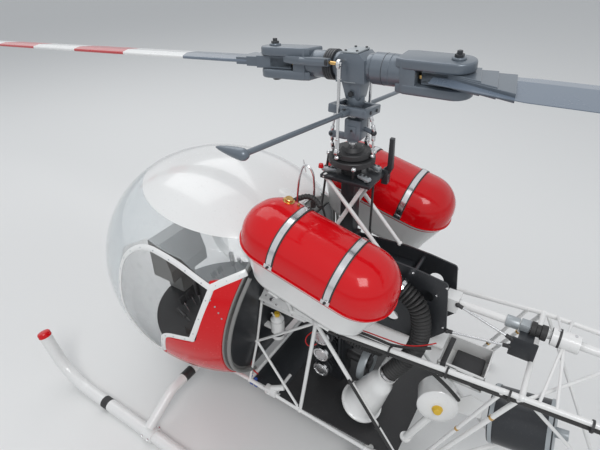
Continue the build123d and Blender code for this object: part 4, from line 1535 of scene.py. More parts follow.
@dataclass
class SideFrames:
    """Welded tubes of both sides, with their rail, ties, conduits and wires."""

    tube: float = 4.0
    brace: float = 2.5
    nose: Point = (-302.0, 112.0, 106.0)
    cabin: Point = (-148.0, 112.0, 103.0)
    middle: Point = (-30.0, 112.0, 93.0)
    aft: Point = (105.0, 112.0, 85.2)
    tail: Point = (190.0, 104.0, 88.2)
    keel: Point = (300.0, 0.5, 112.0)
    front: Point = (-122.6, 90.0, 316.0)
    top: Point = (-8.0, 90.0, 314.0)
    joint: Point = (300.0, 90.0, 341.0)
    back: Point = (-138.1, 90.0, 198.0)
    foot: Point = (167.9, 106.1, 87.4)
    strut_top: Point = (278.4, 90.0, 339.1)
    strut_foot: Point = (181.5, 104.8, 87.9)
    boom_length: float = 1300.0
    boom_taper: float = 76.0
    boom_rise: float = 23.0
    tie_places: tuple = (36, 120, 205, 286, 380, 470, 560, 720, 880, 1040, 1200, 1360, 1520)

    def tubes(self) -> tuple:
        """Start, end and radius of each tube of one side.

        Returns:
            The rows.
        """
        t, b = self.tube, self.brace
        return (
            (self.nose, self.cabin, t), (self.cabin, self.middle, t), (self.middle, self.aft, t),
            (self.front, self.top, t), (self.top, self.joint, t), (self.aft, self.tail, t),
            (self.tail, self.keel, t), (self.top, self.back, b), (self.top, self.middle, b + 1),
            (self.top, self.foot, b + 1), (self.back, self.middle, b), (self.back, self.cabin, b),
            ((-116.9, 90.0, 315.9), self.back, b), (self.joint, self.tail, b + 1),
            (self.strut_top, self.strut_foot, b + 0.5),
        )

    def build(self) -> None:
        """Make both sides and what is tied to them."""
        for side, name in SIDES.items():
            frame_piece = Maker(f"frame_{name}")
            for start, end, radius in self.tubes():
                frame_piece.rod(mirrored(start, side), mirrored(end, side), radius, sides=18)
            for point in (self.cabin, self.middle, self.aft, self.top, self.tail, self.joint):
                frame_piece.ball(mirrored(point, side), self.tube + 1.2)
            for point in (self.back, self.front, self.foot, self.strut_top, self.nose):
                frame_piece.ball(mirrored(point, side), self.tube + 0.2)
            rail = [(-109, 343), (-120, 318), (-116, 306), (-30, 305), (-13, 320)]
            frame_piece.prism(rail, -2.5, 2.5, side_view(y=side * 90), 0.8)
            frame_piece.done(FRAME_WHITE, replaces=f"frame_side_{name}")
        self.rail_fittings()
        self.conduits()
        self.clamps()
        self.gold_rings()

    def rail_fittings(self) -> None:
        """Make the small valve and the screws on the rails."""
        parts = Maker("rail_fittings")
        for side in SIDES:
            y = side * 93.0
            for x, z in ((-104, 332), (-84, 320), (-52, 312), (-26, 313), (-110, 314)):
                parts.rod((x, y - side, z), (x, y + side * 1.2, z), 1.9, soft=0.4, sides=8)
            parts.rod((-92, y - side, 330), (-92, y + side * 4, 330), 3.6, soft=0.5, sides=12)
            parts.rod((-92, y + side * 3, 330), (-86, y + side * 3, 338), 1.6, soft=0.3, sides=10)
        parts.done(BRIGHT_STEEL)

    def longeron(self, x: float, aside: float, above: float) -> Point:
        """A point beside the port upper tube, along the frame and then the boom.

        Args:
            x: Place along the helicopter.
            aside: Offset in Y.
            above: Offset in Z.

        Returns:
            The point.
        """
        if x <= self.joint[0]:
            share = (x - self.top[0]) / (self.joint[0] - self.top[0])
            rise = (self.joint[2] - self.top[2]) * share
            return (x, aside - self.joint[1], self.top[2] + rise + above)
        share = (x - self.joint[0]) / self.boom_length
        y = aside - self.joint[1] + self.boom_taper * share
        return (x, y, self.joint[2] + self.boom_rise * share + above)

    def conduits(self) -> None:
        """Make the sheathed wires along the tubes and the ties that hold them."""
        sheath = Maker("conduits")
        for run in ((14, 60, 150, 240, 300), (300, 420, 640, 900, 1200, 1590)):
            sheath.pipe([self.longeron(x, -1.0, -7.6) for x in run], 3.4)
        top, foot = Vector(mirrored(self.top, -1)), Vector(mirrored(self.foot, -1))
        beside = Vector((2.5, -5.2, 1.0))
        line = [top.lerp(foot, share) + beside for share in (0.38, 0.5, 0.7, 0.9, 1.0)]
        sheath.pipe(line, 2.6)
        branch = [(14, -86, 320), (40, -84, 326), (90, -83, 329), (130, -82, 326), (172, -60, 330)]
        sheath.pipe(branch, 2.2)
        sheath.done(RUBBER)
        wires = Maker("wires")
        for loop in (
            [(18, -84, 322), (60, -80, 330), (104, -79, 331), (150, -72, 328), (176, -50, 334)],
            [(-28, -66, 262), (-36, -74, 256), (-38, -78, 240), (-30, -74, 228), (-22, -64, 232)],
        ):
            wires.pipe(loop, 1.0)
        lead = [(-150, -96, 150), (-152, -100, 132), (-146, -101, 118), (-140, -96, 108)]
        wires.pipe(lead, 1.4)
        wires.done(WIRE_RED)
        plugs = Maker("plugs")
        for x in (-149, -138):
            plugs.box((x, -106, 92), (8, 7, 17), 0.9)
            plugs.box((x, -106, 103), (6, 5, 8), 0.7)
        plugs.done(PLUG_BLUE)
        ties = Maker("ties")
        for x in self.tie_places:
            spot = self.longeron(x, -0.5, -3.6)
            loop = [(7.7, -1.4), (8.5, -1.4), (8.5, 1.4), (7.7, 1.4), (7.7, -1.4)]
            ties.lathe(loop, spot, (x + 1, spot[1], spot[2]), 18)
            ties.box((x, spot[1] - 8.4, spot[2] + 2), (3.4, 3, 4), 0.4)
        heading = (foot - top).normalized()
        for share in (0.4, 0.72):
            spot = top.lerp(foot, share) + Vector((1, -2.4, 0.4))
            ties.collar(spot, spot + heading, 4.8, 5.8, -1.4, 1.4, 16)
        ties.done(BLACK_PLASTIC)

    def clamps(self) -> None:
        """Make the white lumps where the cabin's stays are clamped."""
        clamps = Maker("frame_clamps")
        for side in SIDES:
            clamps.box((-96, side * 112, 104), (26, 14, 18), 3.0)
            clamps.rod((-96, side * 112, 112), (-70, side * 104, 122), 5.5, soft=1.5)
            clamps.rod((-98, side * 119, 104), (-98, side * 121.5, 104), 3, soft=0.6, sides=6)
            clamps.rod((-86, side * 108, 100), (-86, side * 60, 101), 3.4)
        clamps.done(FRAME_WHITE)

    def gold_rings(self) -> None:
        """Make the brass rings on the rear struts."""
        rings = Maker("strut_rings")
        for side in SIDES:
            for start, end, radius, share in (
                (self.joint, self.tail, 3.7, 0.22), (self.strut_top, self.strut_foot, 3.2, 0.42),
            ):
                a, b = Vector(mirrored(start, side)), Vector(mirrored(end, side))
                spot = a.lerp(b, share)
                end = spot + (b - a).normalized() * 4
                rings.rod(spot, end, radius + 0.3, sides=16)
        rings.done(BRASS)


@dataclass
class EngineBay:
    """Engine, filter, hose, fan, tanks and tray between the side frames."""

    engine_x: float = -16.0
    cylinder_z: tuple = (162.0, 204.0, 246.0)
    fan: Point = (52.0, 0.0, 165.0)
    fan_radius: float = 35.0
    fan_blades: int = 10
    fins: int = 5
    fin_pitch: float = 5.5
    filter_foot: Point = (70.0, -58.0, 128.0)
    filter_top: Point = (112.0, -58.0, 232.0)
    hose_line: tuple = (
        (110.5, -58, 228), (122, -57, 252), (146, -52, 294), (152, -47, 340), (142, -43, 384),
        (118, -41, 400), (100, -40, 408),
    )

    def build(self) -> None:
        """Make everything in the bay."""
        self.engine()
        self.filter()
        self.fan_wheel()
        self.oil_drum()
        self.bottle()
        self.tray()
        self.muffler_bands()
        self.sheets()

    def engine(self) -> None:
        """Make the block, its finned cylinders, pipes and ringed caps."""
        x = self.engine_x
        block = Maker("engine")
        block.box((x, 0, 190), (52, 44, 178), 5.0)
        caps = Maker("cylinder_caps")
        for side in SIDES:
            for z in self.cylinder_z:
                block.rod((x, 0, z), (x, side * 56, z), 15, sides=28)
                for fin in range(self.fins):
                    y = side * (27 + fin * self.fin_pitch)
                    block.rod((x, y - 0.8, z), (x, y + 0.8, z), 19, soft=0.3, sides=28)
                face = [
                    (0, 4.4), (9.6, 4.4), (10.4, 3.4), (11.2, 3.4), (12.0, 5.4), (14.6, 5.4),
                    (15.6, 4.4), (15.6, 0), (0, 0),
                ]
                caps.lathe(face, (x, side * 56, z), (x, side * 57, z), 32)
            block.rod((x - 20, side * 32, 150), (x - 20, side * 32, 258), 5, soft=1)
            block.rod((x + 22, side * 30, 148), (x + 22, side * 30, 262), 3.2, soft=1)
        block.done(BLACK_METAL, replaces="engine_block")
        caps.done(BRIGHT_STEEL)

    def filter(self) -> None:
        """Make the white canister, its strap and the ribbed intake hose."""
        foot, top = self.filter_foot, self.filter_top
        can = Maker("filter")
        outline = [
            (0, -3), (37, -3), (38.5, -2), (38.5, 1.5), (35, 3), (33, 6), (31, 26), (27, 52),
            (23, 76), (22, 84), (18, 92), (16, 104), (16.8, 108), (16.8, 112), (0, 112),
        ]
        can.lathe(outline, foot, top, 44)
        can.rod((foot[0], foot[1], 101), foot, 6)
        for turn in range(8):
            angle = math.tau * turn / 8
            place = along(foot, top)
            spot = place @ Vector((35.8 * math.cos(angle), 35.8 * math.sin(angle), 1.2))
            can.ball(spot, 2.0)
        can.box((108, -30, 232), (24, 30, 26), 3.0, Matrix.Rotation(0.4, 4, "Y"))
        can.done(BODY_WHITE, replaces="air_filter")
        hose = Maker("intake")
        hose.ribbed(list(self.hose_line), 15.0, 36)
        hose.rod((104, -40, 404), (104, -25, 404), 9.5, soft=1)
        hose.ribbed([(86, -26, 236), (60, -44, 252), (34, -52, 262), (12, -46, 270)], 7.0, 18)
        hose.done(RUBBER, replaces="intake_hose")
        clamp = Maker("hose_clamps")
        line = route(list(self.hose_line), 36)
        for a, b in ((line[1], line[2]), (line[34], line[35])):
            clamp.collar(a, b, 15.1, 16.0, 0, 6, 28)
        clamp.done(BRIGHT_STEEL)

    def fan_wheel(self) -> None:
        """Make the spoked fan and the pale ring round it."""
        x, _, z = self.fan
        wheel = Maker("fan")
        wheel.rod((10, 0, z), (x + 6, 0, z), 8, soft=1)
        wheel.rod((x - 6, 0, z), (x + 8, 0, z), 12, soft=2)
        for blade in range(self.fan_blades):
            angle = math.tau * blade / self.fan_blades
            turn = Matrix.Rotation(angle, 4, "X") @ Matrix.Rotation(0.6, 4, "Z")
            offset = Matrix.Rotation(angle, 4, "X") @ Vector((0, 0, 21))
            wheel.box((x + offset.x, offset.y, z + offset.z), (1.8, 11, 24), 0.6, turn)
        wheel.done(BLACK_PLASTIC, replaces="cooling_fan")
        shroud = Maker("fan_ring")
        r = self.fan_radius
        hoop = [
            (r - 2, -7), (r, -7), (r + 0.5, -6), (r + 0.5, 6), (r, 7), (r - 2, 7), (r - 2, -7),
        ]
        shroud.lathe(hoop, (x, 0, z), (x + 1, 0, z), 44)
        shroud.done(LIGHT_GREY)

    def oil_drum(self) -> None:
        """Make the drum with its yellow cap on a stand."""
        face, heading = Vector((200, -64, 212)), Vector((0.29, -0.948, 0.13)).normalized()
        drum = Maker("oil_drum")
        outline = [
            (0, 3), (8, 3), (9, 1.2), (22, 1.0), (25, -0.5), (30, -1.5), (32, -3.5), (32, -6),
            (31, -7), (31, -38), (29, -42), (24, -44), (0, -44),
        ]
        drum.lathe(outline, face, face + heading, 44)
        drum.rod((196, -50, 182), (160, -66, 102), 6.5, sides=20)
        drum.rod((160, -66, 101), (160, -66, 106), 10, soft=1)
        drum.prism(
            [(176, 172), (262, 196), (262, 234), (240, 240), (226, 222), (180, 206)], -1, 1,
            side_view(y=-34), 0.4,
        )
        drum.done(BODY_WHITE, replaces="oil_tank")
        cap = Maker("oil_cap")
        knob = [(0, 9), (5.4, 9), (6.6, 7.6), (7.4, 3.4), (8.6, 2.8), (8.6, 1), (0, 1)]
        cap.lathe(knob, face, face + heading, 24)
        lid = [(0, 7.6), (4.6, 7.6), (5.2, 6.6), (5.2, 0), (0, 0)]
        cap.lathe(lid, (-108, -62, 256), (-108, -62, 257), 20)
        cap.done(CAP_YELLOW)

    def bottle(self) -> None:
        """Make the bottle on the firewall with its black band."""
        x, y = -108.0, -62.0
        bottle = Maker("bottle")
        outline = [
            (0, -23), (11, -23), (13, -21), (13, 14), (11.5, 18), (12.6, 20), (12.6, 23),
            (9, 27), (8, 31), (0, 31),
        ]
        bottle.lathe(outline, (x, y, 226), (x, y, 227), 32)
        bottle.box((x - 16, y, 222), (28, 12, 6), 1.0)
        bottle.rod((x - 2, y - 4, 256), (x - 2, y - 12, 272), 1.4)
        bottle.done(BODY_WHITE, replaces="oil_bottle")
        band = Maker("bottle_band")
        band.collar((x, y, 226), (x, y, 227), 13.1, 13.8, -12, -6, 32)
        band.done(BLACK_PLASTIC)

    def tray(self) -> None:
        """Make the open equipment tray, its strap and the bracket of the control rods."""
        x, y, z = 217.0, -17.0, 284.0
        tray = Maker("tray")
        tray.box((x, y, z - 15), (70, 62, 2), 0.5)
        tray.box((x, y + 30, z), (70, 2, 32), 0.5)
        tray.box((x - 34, y, z), (2, 62, 32), 0.5)
        tray.box((x + 34, y, z), (2, 62, 32), 0.5)
        tray.box((x, y - 30, z - 12), (70, 2, 8), 0.5)
        tray.box((x, y - 30, z + 13), (70, 2, 6), 0.5)
        tray.box((x - 20, y - 30, z), (30, 2, 26), 0.5)
        tray.box((x + 27, y - 30, z), (16, 2, 26), 0.5)
        tray.box((157, 0, 298.5), (54, 46, 3), 0.8)
        tray.done(FRAME_WHITE)
        strap = Maker("tray_strap")
        strap.box((x - 26, y - 31.6, z), (8, 1.4, 34), 0.4)
        strap.box((x - 26, y - 4, z + 17), (8, 56, 1.4), 0.4)
        strap.box((x + 6, y - 2, z - 6), (44, 44, 15), 2.0)
        strap.done(BLACK_PLASTIC)
        bracket = Maker("rod_bracket")
        bracket.box((285, -24, 359), (34, 3, 34), 1.2)
        bracket.box((285, -12, 375), (20, 26, 3), 0.8)
        bracket.done(BLACK_METAL)
        rods = Maker("tail_control_rods")
        ends = Maker("control_rod_ends")
        for start, end in (((188, -12, 386), (268, -24, 371)), ((183, -26, 342), (268, -24, 356))):
            a, b = Vector(start), Vector(end)
            rods.rod(start, end, 1.8, sides=12)
            for share in (0.04, 0.96):
                spot, axis = a.lerp(b, share), (b - a).normalized() * 5
                ends.rod(spot - axis, spot + axis, 3.0, soft=0.6, sides=12)
                ends.ball(a.lerp(b, 0.0 if share < 0.5 else 1.0), 3.8)
        rods.done(BRIGHT_STEEL)
        ends.done(BLACK_PLASTIC)

    def muffler_bands(self) -> None:
        """Make the bright bands, end lid and outlet on the muffler, and the fuel line."""
        heading = Vector((1, 0, 0.2)).normalized()
        middle = Vector((320, 0, 190))
        bands = Maker("muffler_bands")
        for at in (-40, 40):
            spot = middle + heading * at
            bands.collar(spot, spot + heading, 46.1, 47.6, -3, 3, 48)
        end = middle + heading * 46
        lid = [(0, 0), (42, 0), (44, -1), (44, -3), (0, -3)]
        bands.lathe(lid, end, end + heading, 48)
        bands.rod(end, end + heading * 18, 8, soft=0.6)
        bands.done(LIGHT_GREY)
        pipe = Maker("fuel_line")
        pipe.pipe([(150, -60, 300), (186, -66, 286), (214, -62, 262), (226, -54, 240)], 3.0)
        pipe.done(RUBBER)

    def sheets(self) -> None:
        """Make the dark sheets behind the firewall and in front of the deck: partly the bay's real
        black parts, partly painted shade for the dark inside of the bay.
        """
        lean = Matrix.Rotation(FIREWALL_LEAN, 4, "Y")
        dark = Maker("bay_sheets_and_painted_shade")
        # Black deck sheet, partly a real plate and partly painted shade where the inside of the bay
        # falls dark.
        dark.box((-114, 0, 100), (72, 212, 1.6), 0.4)
        dark.box((-136.5, 0, 222), (1.4, 164, 172), 0.4, lean)
        for x in (-130, -96):
            for y in (-96, 96):
                dark.rod((x, y, 100.5), (x, y, 102), 2.2, soft=0.4, sides=8)
        dark.done(BLACK_METAL)


@dataclass
class TailDrive:
    """Drive shaft with its couplings, bearing seals and plate screws."""

    height: float = 380.0
    bearings: int = 5
    first_bearing: float = 330.0
    bearing_pitch: float = 310.0

    def build(self) -> None:
        """Make the shaft and the fittings on its bearings."""
        z = self.height
        shaft = Maker("drive_shaft")
        shaft.rod((188.3, 0, z), (1663, 0, z), 6.0, sides=24)
        shaft.done(FRAME_WHITE, Body.TAIL_DRIVE, "tail_drive_shaft")
        joints = Maker("shaft_couplings")
        joints.rod((254, 0, z), (272, 0, z), 8.6, soft=0.8, sides=24)
        joints.box((279.5, 0, z), (13, 15, 15), 1.2)
        joints.done(LIGHT_GREY, Body.TAIL_DRIVE)
        rubber = Maker("rubber_coupling")
        rubber.lathe(
            [
                (6, 286.5), (10.4, 286.5), (11, 287.2), (11, 293), (9, 294), (9, 299), (11, 300),
                (11, 306.8), (10.4, 307.5), (6, 307.5),
            ],
            (0, 0, z), (1, 0, z), 32,
        )
        rubber.done(RUBBER, Body.TAIL_DRIVE)
        seals = Maker("bearing_seals")
        screws = Maker("bearing_screws")
        for index in range(self.bearings):
            x = self.first_bearing + self.bearing_pitch * index
            for at in (-17.2, 16.0):
                seals.collar((x, 0, z), (x + 1, 0, z), 6.6, 12.2, at, at + 1.2, 28)
            seals.collar((x, 0, z), (x + 1, 0, z), 13.0, 13.5, -9, -6, 28)
            for at in (-10, 10):
                screws.rod((x + at, 0, z + 12.4), (x + at, 0, z + 14.4), 2.0, soft=0.4, sides=8)
        for side in SIDES:
            for x, high in (
                (171, 420), (176, 345), (120, 427), (60, 428), (-30, 422), (-30, 308),
                (140, 308), (158, 400),
            ):
                screws.rod((x, side * 24.5, high), (x, side * 26.4, high), 2.0, soft=0.4, sides=8)
        seals.done(BLACK_PLASTIC)
        screws.done(BRIGHT_STEEL)


@dataclass
class Cabin:
    """Fairing, rim, rivets, screws, cushion and controls of the cabin."""

    bubble_middle: Point = (-265.0, 0.0, 297.0)
    bubble_length: float = 258.0
    bubble_radius: float = 223.0
    doorway: tuple = (
        (-146, 389), (-176, 405), (-204, 417), (-240, 425), (-272, 427), (-298, 418), (-316, 403),
        (-326, 386), (-330, 362), (-331, 335), (-331, 308), (-325, 284), (-311, 258), (-292, 234),
        (-272, 221), (-257, 221), (-247, 237), (-238, 262), (-230, 281), (-218, 289), (-196, 291),
        (-175, 292),
    )
    post: tuple = ((-175, 292), (-163, 323), (-154, 354), (-146, 389))
    panel_top: tuple = ((-146, 391), (-134, 398), (-120, 404), (-106, 410))
    lean: float = 0.1676
    rise: float = 0.169
    firewall_foot: tuple = (-157.0, 118.0)
    seat_middle: Point = (-236.0, 0.0, 190.0)
    seat_size: Point = (96.0, 270.0, 18.0)
    floor_level: float = 148.0

    def half_width(self, x: float, z: float, least: float = 0.05) -> float:
        """Half the bubble's width at an x and z.

        Args:
            x: The x.
            z: The z.
            least: Least square of the share of its radius, near and past its rim.

        Returns:
            The half width.
        """
        away = ((x - self.bubble_middle[0]) / self.bubble_length) ** 2
        up = (z - self.bubble_middle[2]) / self.bubble_radius
        return math.sqrt(max(least, 1.0 - away - up * up)) * self.bubble_radius

    def skin(self, x: float, z: float, side: int, proud: float = 0.0) -> Vector:
        """The point of the bubble's side that has this x and z.

        Args:
            x: Its x.
            z: Its z.
            side: -1 for port, 1 for starboard.
            proud: Height over the skin.

        Returns:
            The point.
        """
        return Vector((x, side * (self.half_width(x, z, 0.02) + proud), z))

    def build(self) -> None:
        """Make everything that the plain shells lack."""
        self.door_band()
        self.rivets()
        self.floor_cover()
        self.fairing()
        self.rim()
        self.cushions()
        self.controls()

    def pressed(self, shape: bmesh.types.BMesh, flat: float, proud: float) -> None:
        """Flatten a tube's thickness against the bubble's skin.

        Args:
            shape: The shape.
            flat: Share of its thickness that stays.
            proud: How far it is lifted.
        """
        middle = Vector(self.bubble_middle)
        for vert in shape.verts:
            arm = vert.co - middle
            across = (arm.y ** 2 + arm.z ** 2) / self.bubble_radius ** 2
            level = math.sqrt((arm.x / self.bubble_length) ** 2 + across)
            depth = (level - 1.0) * self.bubble_radius
            vert.co = middle + arm * ((1.0 + (depth * flat + proud) / self.bubble_radius) / level)

    def door_band(self) -> None:
        """Make the rounded white band of each doorway, with the strip over the red panel."""
        band = Maker("doorway_band")
        for side in SIDES:
            for line, wide in ((self.doorway, 4.8), (self.post, 4.8), (self.panel_top, 6.0)):
                band.pipe([self.skin(x, z, side) for x, z in line], wide)
            for x, z in (self.doorway[0], self.doorway[-1]):
                band.ball(self.skin(x, z, side), 5.4)
        self.pressed(band.mesh, 0.3, 0.6)
        band.done(BODY_WHITE, replaces="doorway_frames")

    def floor_cover(self) -> None:
        """Make the black sheet over the floor and the black back of the firewall."""
        cover = Maker("floor_cover")
        level = self.floor_level
        share = math.sqrt(1.0 - ((level - self.bubble_middle[2]) / self.bubble_radius) ** 2)
        long, wide = self.bubble_length * share - 4.0, self.bubble_radius * share - 4.0
        outline = []
        for step in range(33):
            angle = math.pi / 2 + math.pi * step / 32
            outline.append((self.bubble_middle[0] + long * math.cos(angle), wide * math.sin(angle)))
        outline = [(-215, wide * 0.96), *outline, (-215, -wide * 0.96)]
        cover.prism(outline, level - 1.5, level, None, 0.4)
        cover.done(BLACK_PLASTIC)
        back = Maker("firewall_back")
        foot_x, foot_z = self.firewall_foot
        sides = []
        for step in range(15):
            climb = 124.0 + step * 20.0 - foot_z
            half_width = self.half_width(foot_x + climb * self.rise, foot_z + climb)
            sides.append((half_width - 16.0, climb / math.cos(self.lean)))
        facing = Matrix(((0, 0, 1), (1, 0, 0), (0, 1, 0))).to_4x4()
        foot = Matrix.Translation((foot_x + 1.5, 0, foot_z))
        place = foot @ Matrix.Rotation(self.lean, 4, "Y") @ facing
        back.prism(sides + [(-y, z) for y, z in reversed(sides)], 0.0, 1.5, place)
        back.done(BLACK_METAL)

    def rivets(self) -> None:
        """Make the small heads along the doorway band."""
        heads = Maker("doorway_rivets")
        for side in SIDES:
            for line in (self.doorway, self.post, self.panel_top):
                for index, (x, z) in enumerate(line[:-1]):
                    next_x, next_z = line[index + 1]
                    spot = self.skin((x + next_x) / 2, (z + next_z) / 2, side, 1.6)
                    heads.ball(spot, 1.3)
            for x, z in ((-166, 372), (-158, 362), (-152, 352), (-147, 342)):
                heads.ball(self.skin(x + 22, z, side, 1.0), 1.5)
        heads.done(LIGHT_GREY, slot="bright_steel")

    def fairing(self) -> None:
        """Make the ridge behind the roof dome with its seam screws."""
        ridge = Maker("roof_fairing")
        start, end = Vector((-172, 0, 474)), Vector((-92, 0, 446))
        ridge.lathe(
            [
                (0, 0), (9, 1), (17, 6), (23, 14), (26, 26), (27, 46), (26, 66), (22, 78),
                (14, 84), (0, 86),
            ],
            start, end, 40,
        )
        ridge.done(BODY_WHITE)
        screws = Maker("roof_screws")
        for side in SIDES:
            for x, y, z in ((-150, 22, 483), (-126, 24, 474), (-104, 22, 465)):
                screws.ball((x, side * y, z), 2.4)
        screws.done(BLACK_METAL)

    def rim(self) -> None:
        """Make the grey flange round the firewall behind the red panels."""
        flange = Maker("firewall_rim")
        foot_x, foot_z = self.firewall_foot
        for side in SIDES:
            inner, outer = [], []
            for step in range(15):
                z = 122 + step * 20
                x = foot_x + (z - foot_z) * math.tan(FIREWALL_LEAN)
                y = self.half_width(x, z)
                inner.append((x, side * (y - 4), z))
                outer.append((x + 10, side * (y - 7), z))
            flange.pipe(inner, 2.6)
            flange.pipe(outer, 3.4)
        flange.done(PANEL_GREY)

    def cushions(self) -> None:
        """Make the padded seat as a sewn soft form."""
        pad = Maker("seat_cushion")
        seat = bmesh.new()
        bmesh.ops.create_cube(seat, size=1.0)
        bmesh.ops.subdivide_edges(seat, edges=seat.edges[:], cuts=9, use_grid_fill=True)
        for vert in seat.verts:
            across, forth = vert.co.x * 2, vert.co.y * 2
            round_off = (1 - abs(across) ** 5) * (1 - abs(forth) ** 5)
            groove = 0.16 * math.exp(-((abs(across) - 0.5) * 9) ** 2)
            groove += 0.1 * math.exp(-(across * 9) ** 2)
            if vert.co.z > 0:
                vert.co.z += 0.35 * round_off - groove
        size = Matrix.Diagonal((*self.seat_size, 1)) @ Matrix.Rotation(math.pi / 2, 4, "Z")
        pad.join(seat, Matrix.Translation(self.seat_middle) @ size)
        piece = pad.done(SEAT_CLOTH)

    def controls(self) -> None:
        """Make the columns, side levers and pedals on the floor."""
        stands = Maker("controls")
        bright = Maker("control_columns")
        for side in SIDES:
            y = side * 58.0
            bright.pipe([(-318, y, 146), (-314, y, 166), (-312, y, 192), (-316, y, 214)], 2.6)
            stands.rod((-318, y, 147), (-318, y, 156), 9, soft=2)
            stands.rod((-316, y, 210), (-320, y, 244), 5.4, soft=2)
            lever = [(-290, 147), (-300, 166), (-322, 180)]
            stands.pipe([(x, side * 100, z) for x, z in lever], 3.0)
            stands.rod((-318, side * 100, 177), (-340, side * 100, 192), 4.6, soft=1.5)
            for at in (40, 62):
                bright.rod((-352, side * at, 147), (-364, side * at, 169), 2.0)
                stands.box((-366, side * at, 173), (4, 15, 17), 1.2, Matrix.Rotation(-0.4, 4, "Y"))
        stands.done(BLACK_PLASTIC)
        bright.done(BRIGHT_STEEL)


@dataclass
class SkidDetails:
    """Toe caps, tape bands and saddle bolts of the skids and cross tubes."""

    half_tread: float = 267.0
    tube: float = 12.5
    cross_x: tuple = (-288.0, 105.0)
    toe: Point = (-590.0, 267.0, 132.0)
    shin: Point = (-560.0, 267.0, 46.5)

    def build(self) -> None:
        """Make what is fitted to the skids and cross tubes."""
        bolts, bands = Maker("skid_bolts"), Maker("skid_tape")
        caps, shoes = Maker("skid_toe_caps"), Maker("skid_shoes")
        for side in SIDES:
            y = side * self.half_tread
            toe, shin = Vector(mirrored(self.toe, side)), Vector(mirrored(self.shin, side))
            out = (toe - shin).normalized()
            cap = [
                (0, 2.4), (9, 2.2), (12, 1.2), (13.4, -1), (13.4, -9), (12.6, -9), (12.6, -1),
                (0, -1),
            ]
            caps.lathe(cap, toe, toe + out, 28)
            wrap = [(12.4, -9), (12.7, -9), (12.7, 9), (12.4, 9), (12.4, -9)]
            for x in self.cross_x:
                for at in (-8, 8):
                    for tip in (-1, 1):
                        near, far = (x + at, y + tip * 13, 18), (x + at, y + tip * 17, 18)
                        bolts.rod(near, far, 2.4, soft=0.5, sides=6)
                bands.collar((x, side * 150, 70), (x, side * 151, 70), 10.1, 10.7, -12, 12, 28)
                bolts.rod((x, side * 112, 79), (x, side * 112, 85), 4.2, soft=0.8, sides=6)
            for x in (-420, -150, 200):
                shoes.lathe(wrap, (x, y, self.tube), (x + 1, y, self.tube), 28)
        caps.done(BODY_RED)
        bands.done(BLACK_PLASTIC)
        shoes.done(RUBBER)
        bolts.done(BRIGHT_STEEL)


@dataclass
class TailEnd:
    """Aerofoil stabiliser and the tail rotor's head and blades."""

    span: float = 330.0
    chord: float = 84.0
    hub: Point = (1687.0, 62.0, 388.0)

    @staticmethod
    def section(chord: float, thick: float) -> list:
        """A rounded nose and a thin tail, about a quarter of the chord.

        Args:
            chord: Its chord.
            thick: Its thickness.

        Returns:
            The points, with the quarter chord at zero.
        """
        rise = (0.0, 0.36, 0.48, 0.5, 0.44, 0.3, 0.12, 0.03)
        place = (0.0, 0.03, 0.1, 0.25, 0.45, 0.7, 0.92, 1.0)
        upper = [((p - 0.25) * chord, r * thick) for p, r in zip(place, rise)]
        return upper + [((p - 0.25) * chord, -r * thick) for p, r in list(zip(place, rise))[:0:-1]]

    def build(self) -> None:
        """Make the stabiliser, hub and blades."""
        fin = Maker("stabiliser")
        half = self.span / 2
        fin.prism(self.section(self.chord, 7.0), -half, half, side_view(1354, 0, 292))
        fin.done(BODY_WHITE, replaces="tail_stabiliser")
        x, y, z = self.hub
        head = Maker("tail_hub")
        head.box((x, y, z), (18, 14, 34), 3)
        head.rod((x, y - 12, z), (x, y + 12, z), 7, soft=1.5)
        blades = Maker("tail_blades")
        for sign in (1, -1):
            head.rod((x, y, z + sign * 14), (x, y, z + sign * 34), 5.5, soft=1.2)
            head.box((x, y, z + sign * 36), (15, 7, 16), 1.5)
            head.rod((x + 12, y - 3, z + sign * 22), (x + 4, y - 1, z + sign * 22), 2, soft=0.5)
            pitch = Matrix.Translation((x, y, z)) @ Matrix.Rotation(0.14 * sign, 4, "Z")
            low, high = sorted((sign * 32, sign * 216))
            blades.prism(self.section(29.0, 4.2), low, high, pitch)
        head.done(ROTOR_GREY, Body.TAIL_ROTOR, "tail_rotor_hub")
        blades.done(BODY_WHITE, Body.TAIL_ROTOR, "tail_rotor_blades")


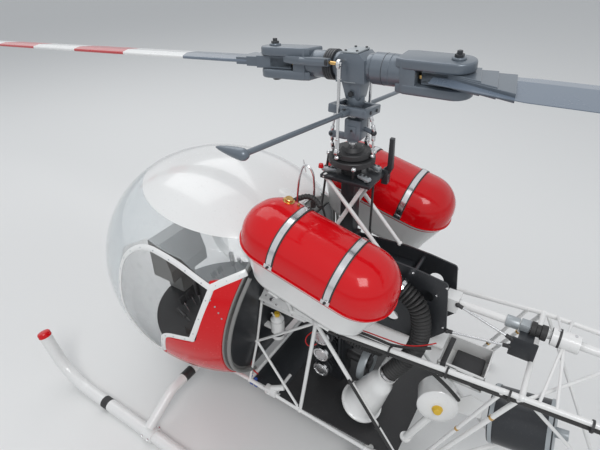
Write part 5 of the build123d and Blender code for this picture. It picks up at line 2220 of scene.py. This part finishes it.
@dataclass
class Studio:
    """Pale floor, soft lamps and the camera at the photograph's place."""

    floor_size: float = 60.0
    floor_drop: float = 0.0005
    sensor: float = 36.0
    camera_place: Point = (0.26283, -0.54535, 0.85036)
    camera_right: Point = (0.84458, 0.53503, -0.02058)
    camera_up: Point = (-0.27760, 0.47050, 0.83760)
    camera_ahead: Point = (-0.45782, 0.70171, -0.54589)
    lens: float = 27.06
    sky: Colour = (0.86, 0.90, 0.95)
    sky_strength: float = 0.55
    backdrop: Colour = (0.80, 0.82, 0.84)
    floor_colour: Colour = (0.78, 0.78, 0.77)
    lamp_power: float = 36.0
    lamp_aim: Point = (0.0, 0.0, 0.4)

    def build(self) -> None:
        """Set up the floor, the lamps, the world and the camera."""
        self.floor()
        self.lamp("key", (1.2, -1.6, 2.6), 1.2)
        self.lamp("sky", (-1.6, 0.8, 3.0), 2.6)
        self.world()
        self.camera()
        bpy.context.scene.view_settings.view_transform = "Standard"

    def floor(self) -> None:
        """Lay a wide pale floor under the skids."""
        mesh = bmesh.new()
        bmesh.ops.create_grid(mesh, x_segments=1, y_segments=1, size=self.floor_size / 2)
        data = bpy.data.meshes.new("studio_floor")
        mesh.to_mesh(data)
        mesh.free()
        obj = bpy.data.objects.new("studio_floor", data)
        bpy.context.scene.collection.objects.link(obj)
        obj.location.z = -self.floor_drop
        shader = Shader("studio_floor")
        shader.set(Base_Color=self.floor_colour, Roughness=0.9)
        data.materials.append(shader.material)

    def lamp(self, name: str, place: Point, size: float) -> None:
        """Hang one square soft lamp that faces the helicopter.

        Args:
            name: The lamp's name.
            place: Where it hangs.
            size: Length of its side.
        """
        light = bpy.data.lights.new(name, "AREA")
        light.size = size
        light.energy = self.lamp_power
        obj = bpy.data.objects.new(name, light)
        obj.location = place
        aim = Vector(self.lamp_aim) - Vector(place)
        obj.rotation_euler = aim.to_track_quat("-Z", "Y").to_euler()
        bpy.context.scene.collection.objects.link(obj)

    def world(self) -> None:
        """Light from all round, and a pale backdrop that metal and glass show too."""
        world = bpy.data.worlds.new("studio")
        world.use_nodes = True
        bpy.context.scene.world = world
        nodes = Nodes(world.node_tree)
        soft = nodes.add(
            "ShaderNodeBackground", {}, {"Color": self.sky, "Strength": self.sky_strength},
        )
        pale = nodes.add("ShaderNodeBackground", {}, {"Color": self.backdrop, "Strength": 1.0})
        camera, glossy, through = (
            nodes.add("ShaderNodeLightPath", {}, {}, f"Is {kind} Ray")
            for kind in ("Camera", "Glossy", "Transmission")
        )
        share = camera.larger(glossy).larger(through)
        mixed = nodes.add("ShaderNodeMixShader", {}, {0: share, 1: soft, 2: pale})
        nodes.feed(world.node_tree.nodes["World Output"].inputs["Surface"], mixed)

    def camera(self) -> None:
        """Stand the camera where the photograph was taken."""
        data = bpy.data.cameras.new("photo_view")
        data.sensor_width = self.sensor
        data.lens = self.lens
        data.clip_start = 0.02
        obj = bpy.data.objects.new("photo_view", data)
        axes = (self.camera_right, self.camera_up, self.camera_ahead)
        right, up, ahead = (Vector(axis) for axis in axes)
        turn = Matrix((right, up, -ahead)).transposed().to_4x4()
        obj.matrix_world = Matrix.Translation(self.camera_place) @ turn
        bpy.context.scene.collection.objects.link(obj)
        bpy.context.scene.camera = obj


def dress_frame() -> None:
    """Give every node of the frame its finish."""
    for finish, names in NODE_FINISH.items():
        for name in names.split():
            WARDROBE.dress(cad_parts[name], finish)
            log.info("dressed %s in %s", name, finish.name)


def main() -> None:
    """Build the studio, the finishes and the fittings in order."""
    logging.basicConfig(level=logging.INFO)
    Studio().build()
    dress_frame()
    head = RotorHead()
    for part in (
        FuelTanks(), head, Linkage(head), Tower(), SideFrames(), EngineBay(), TailDrive(),
        Cabin(), SkidDetails(), TailEnd(),
    ):
        part.build()


if __name__ == "__main__":
    main()
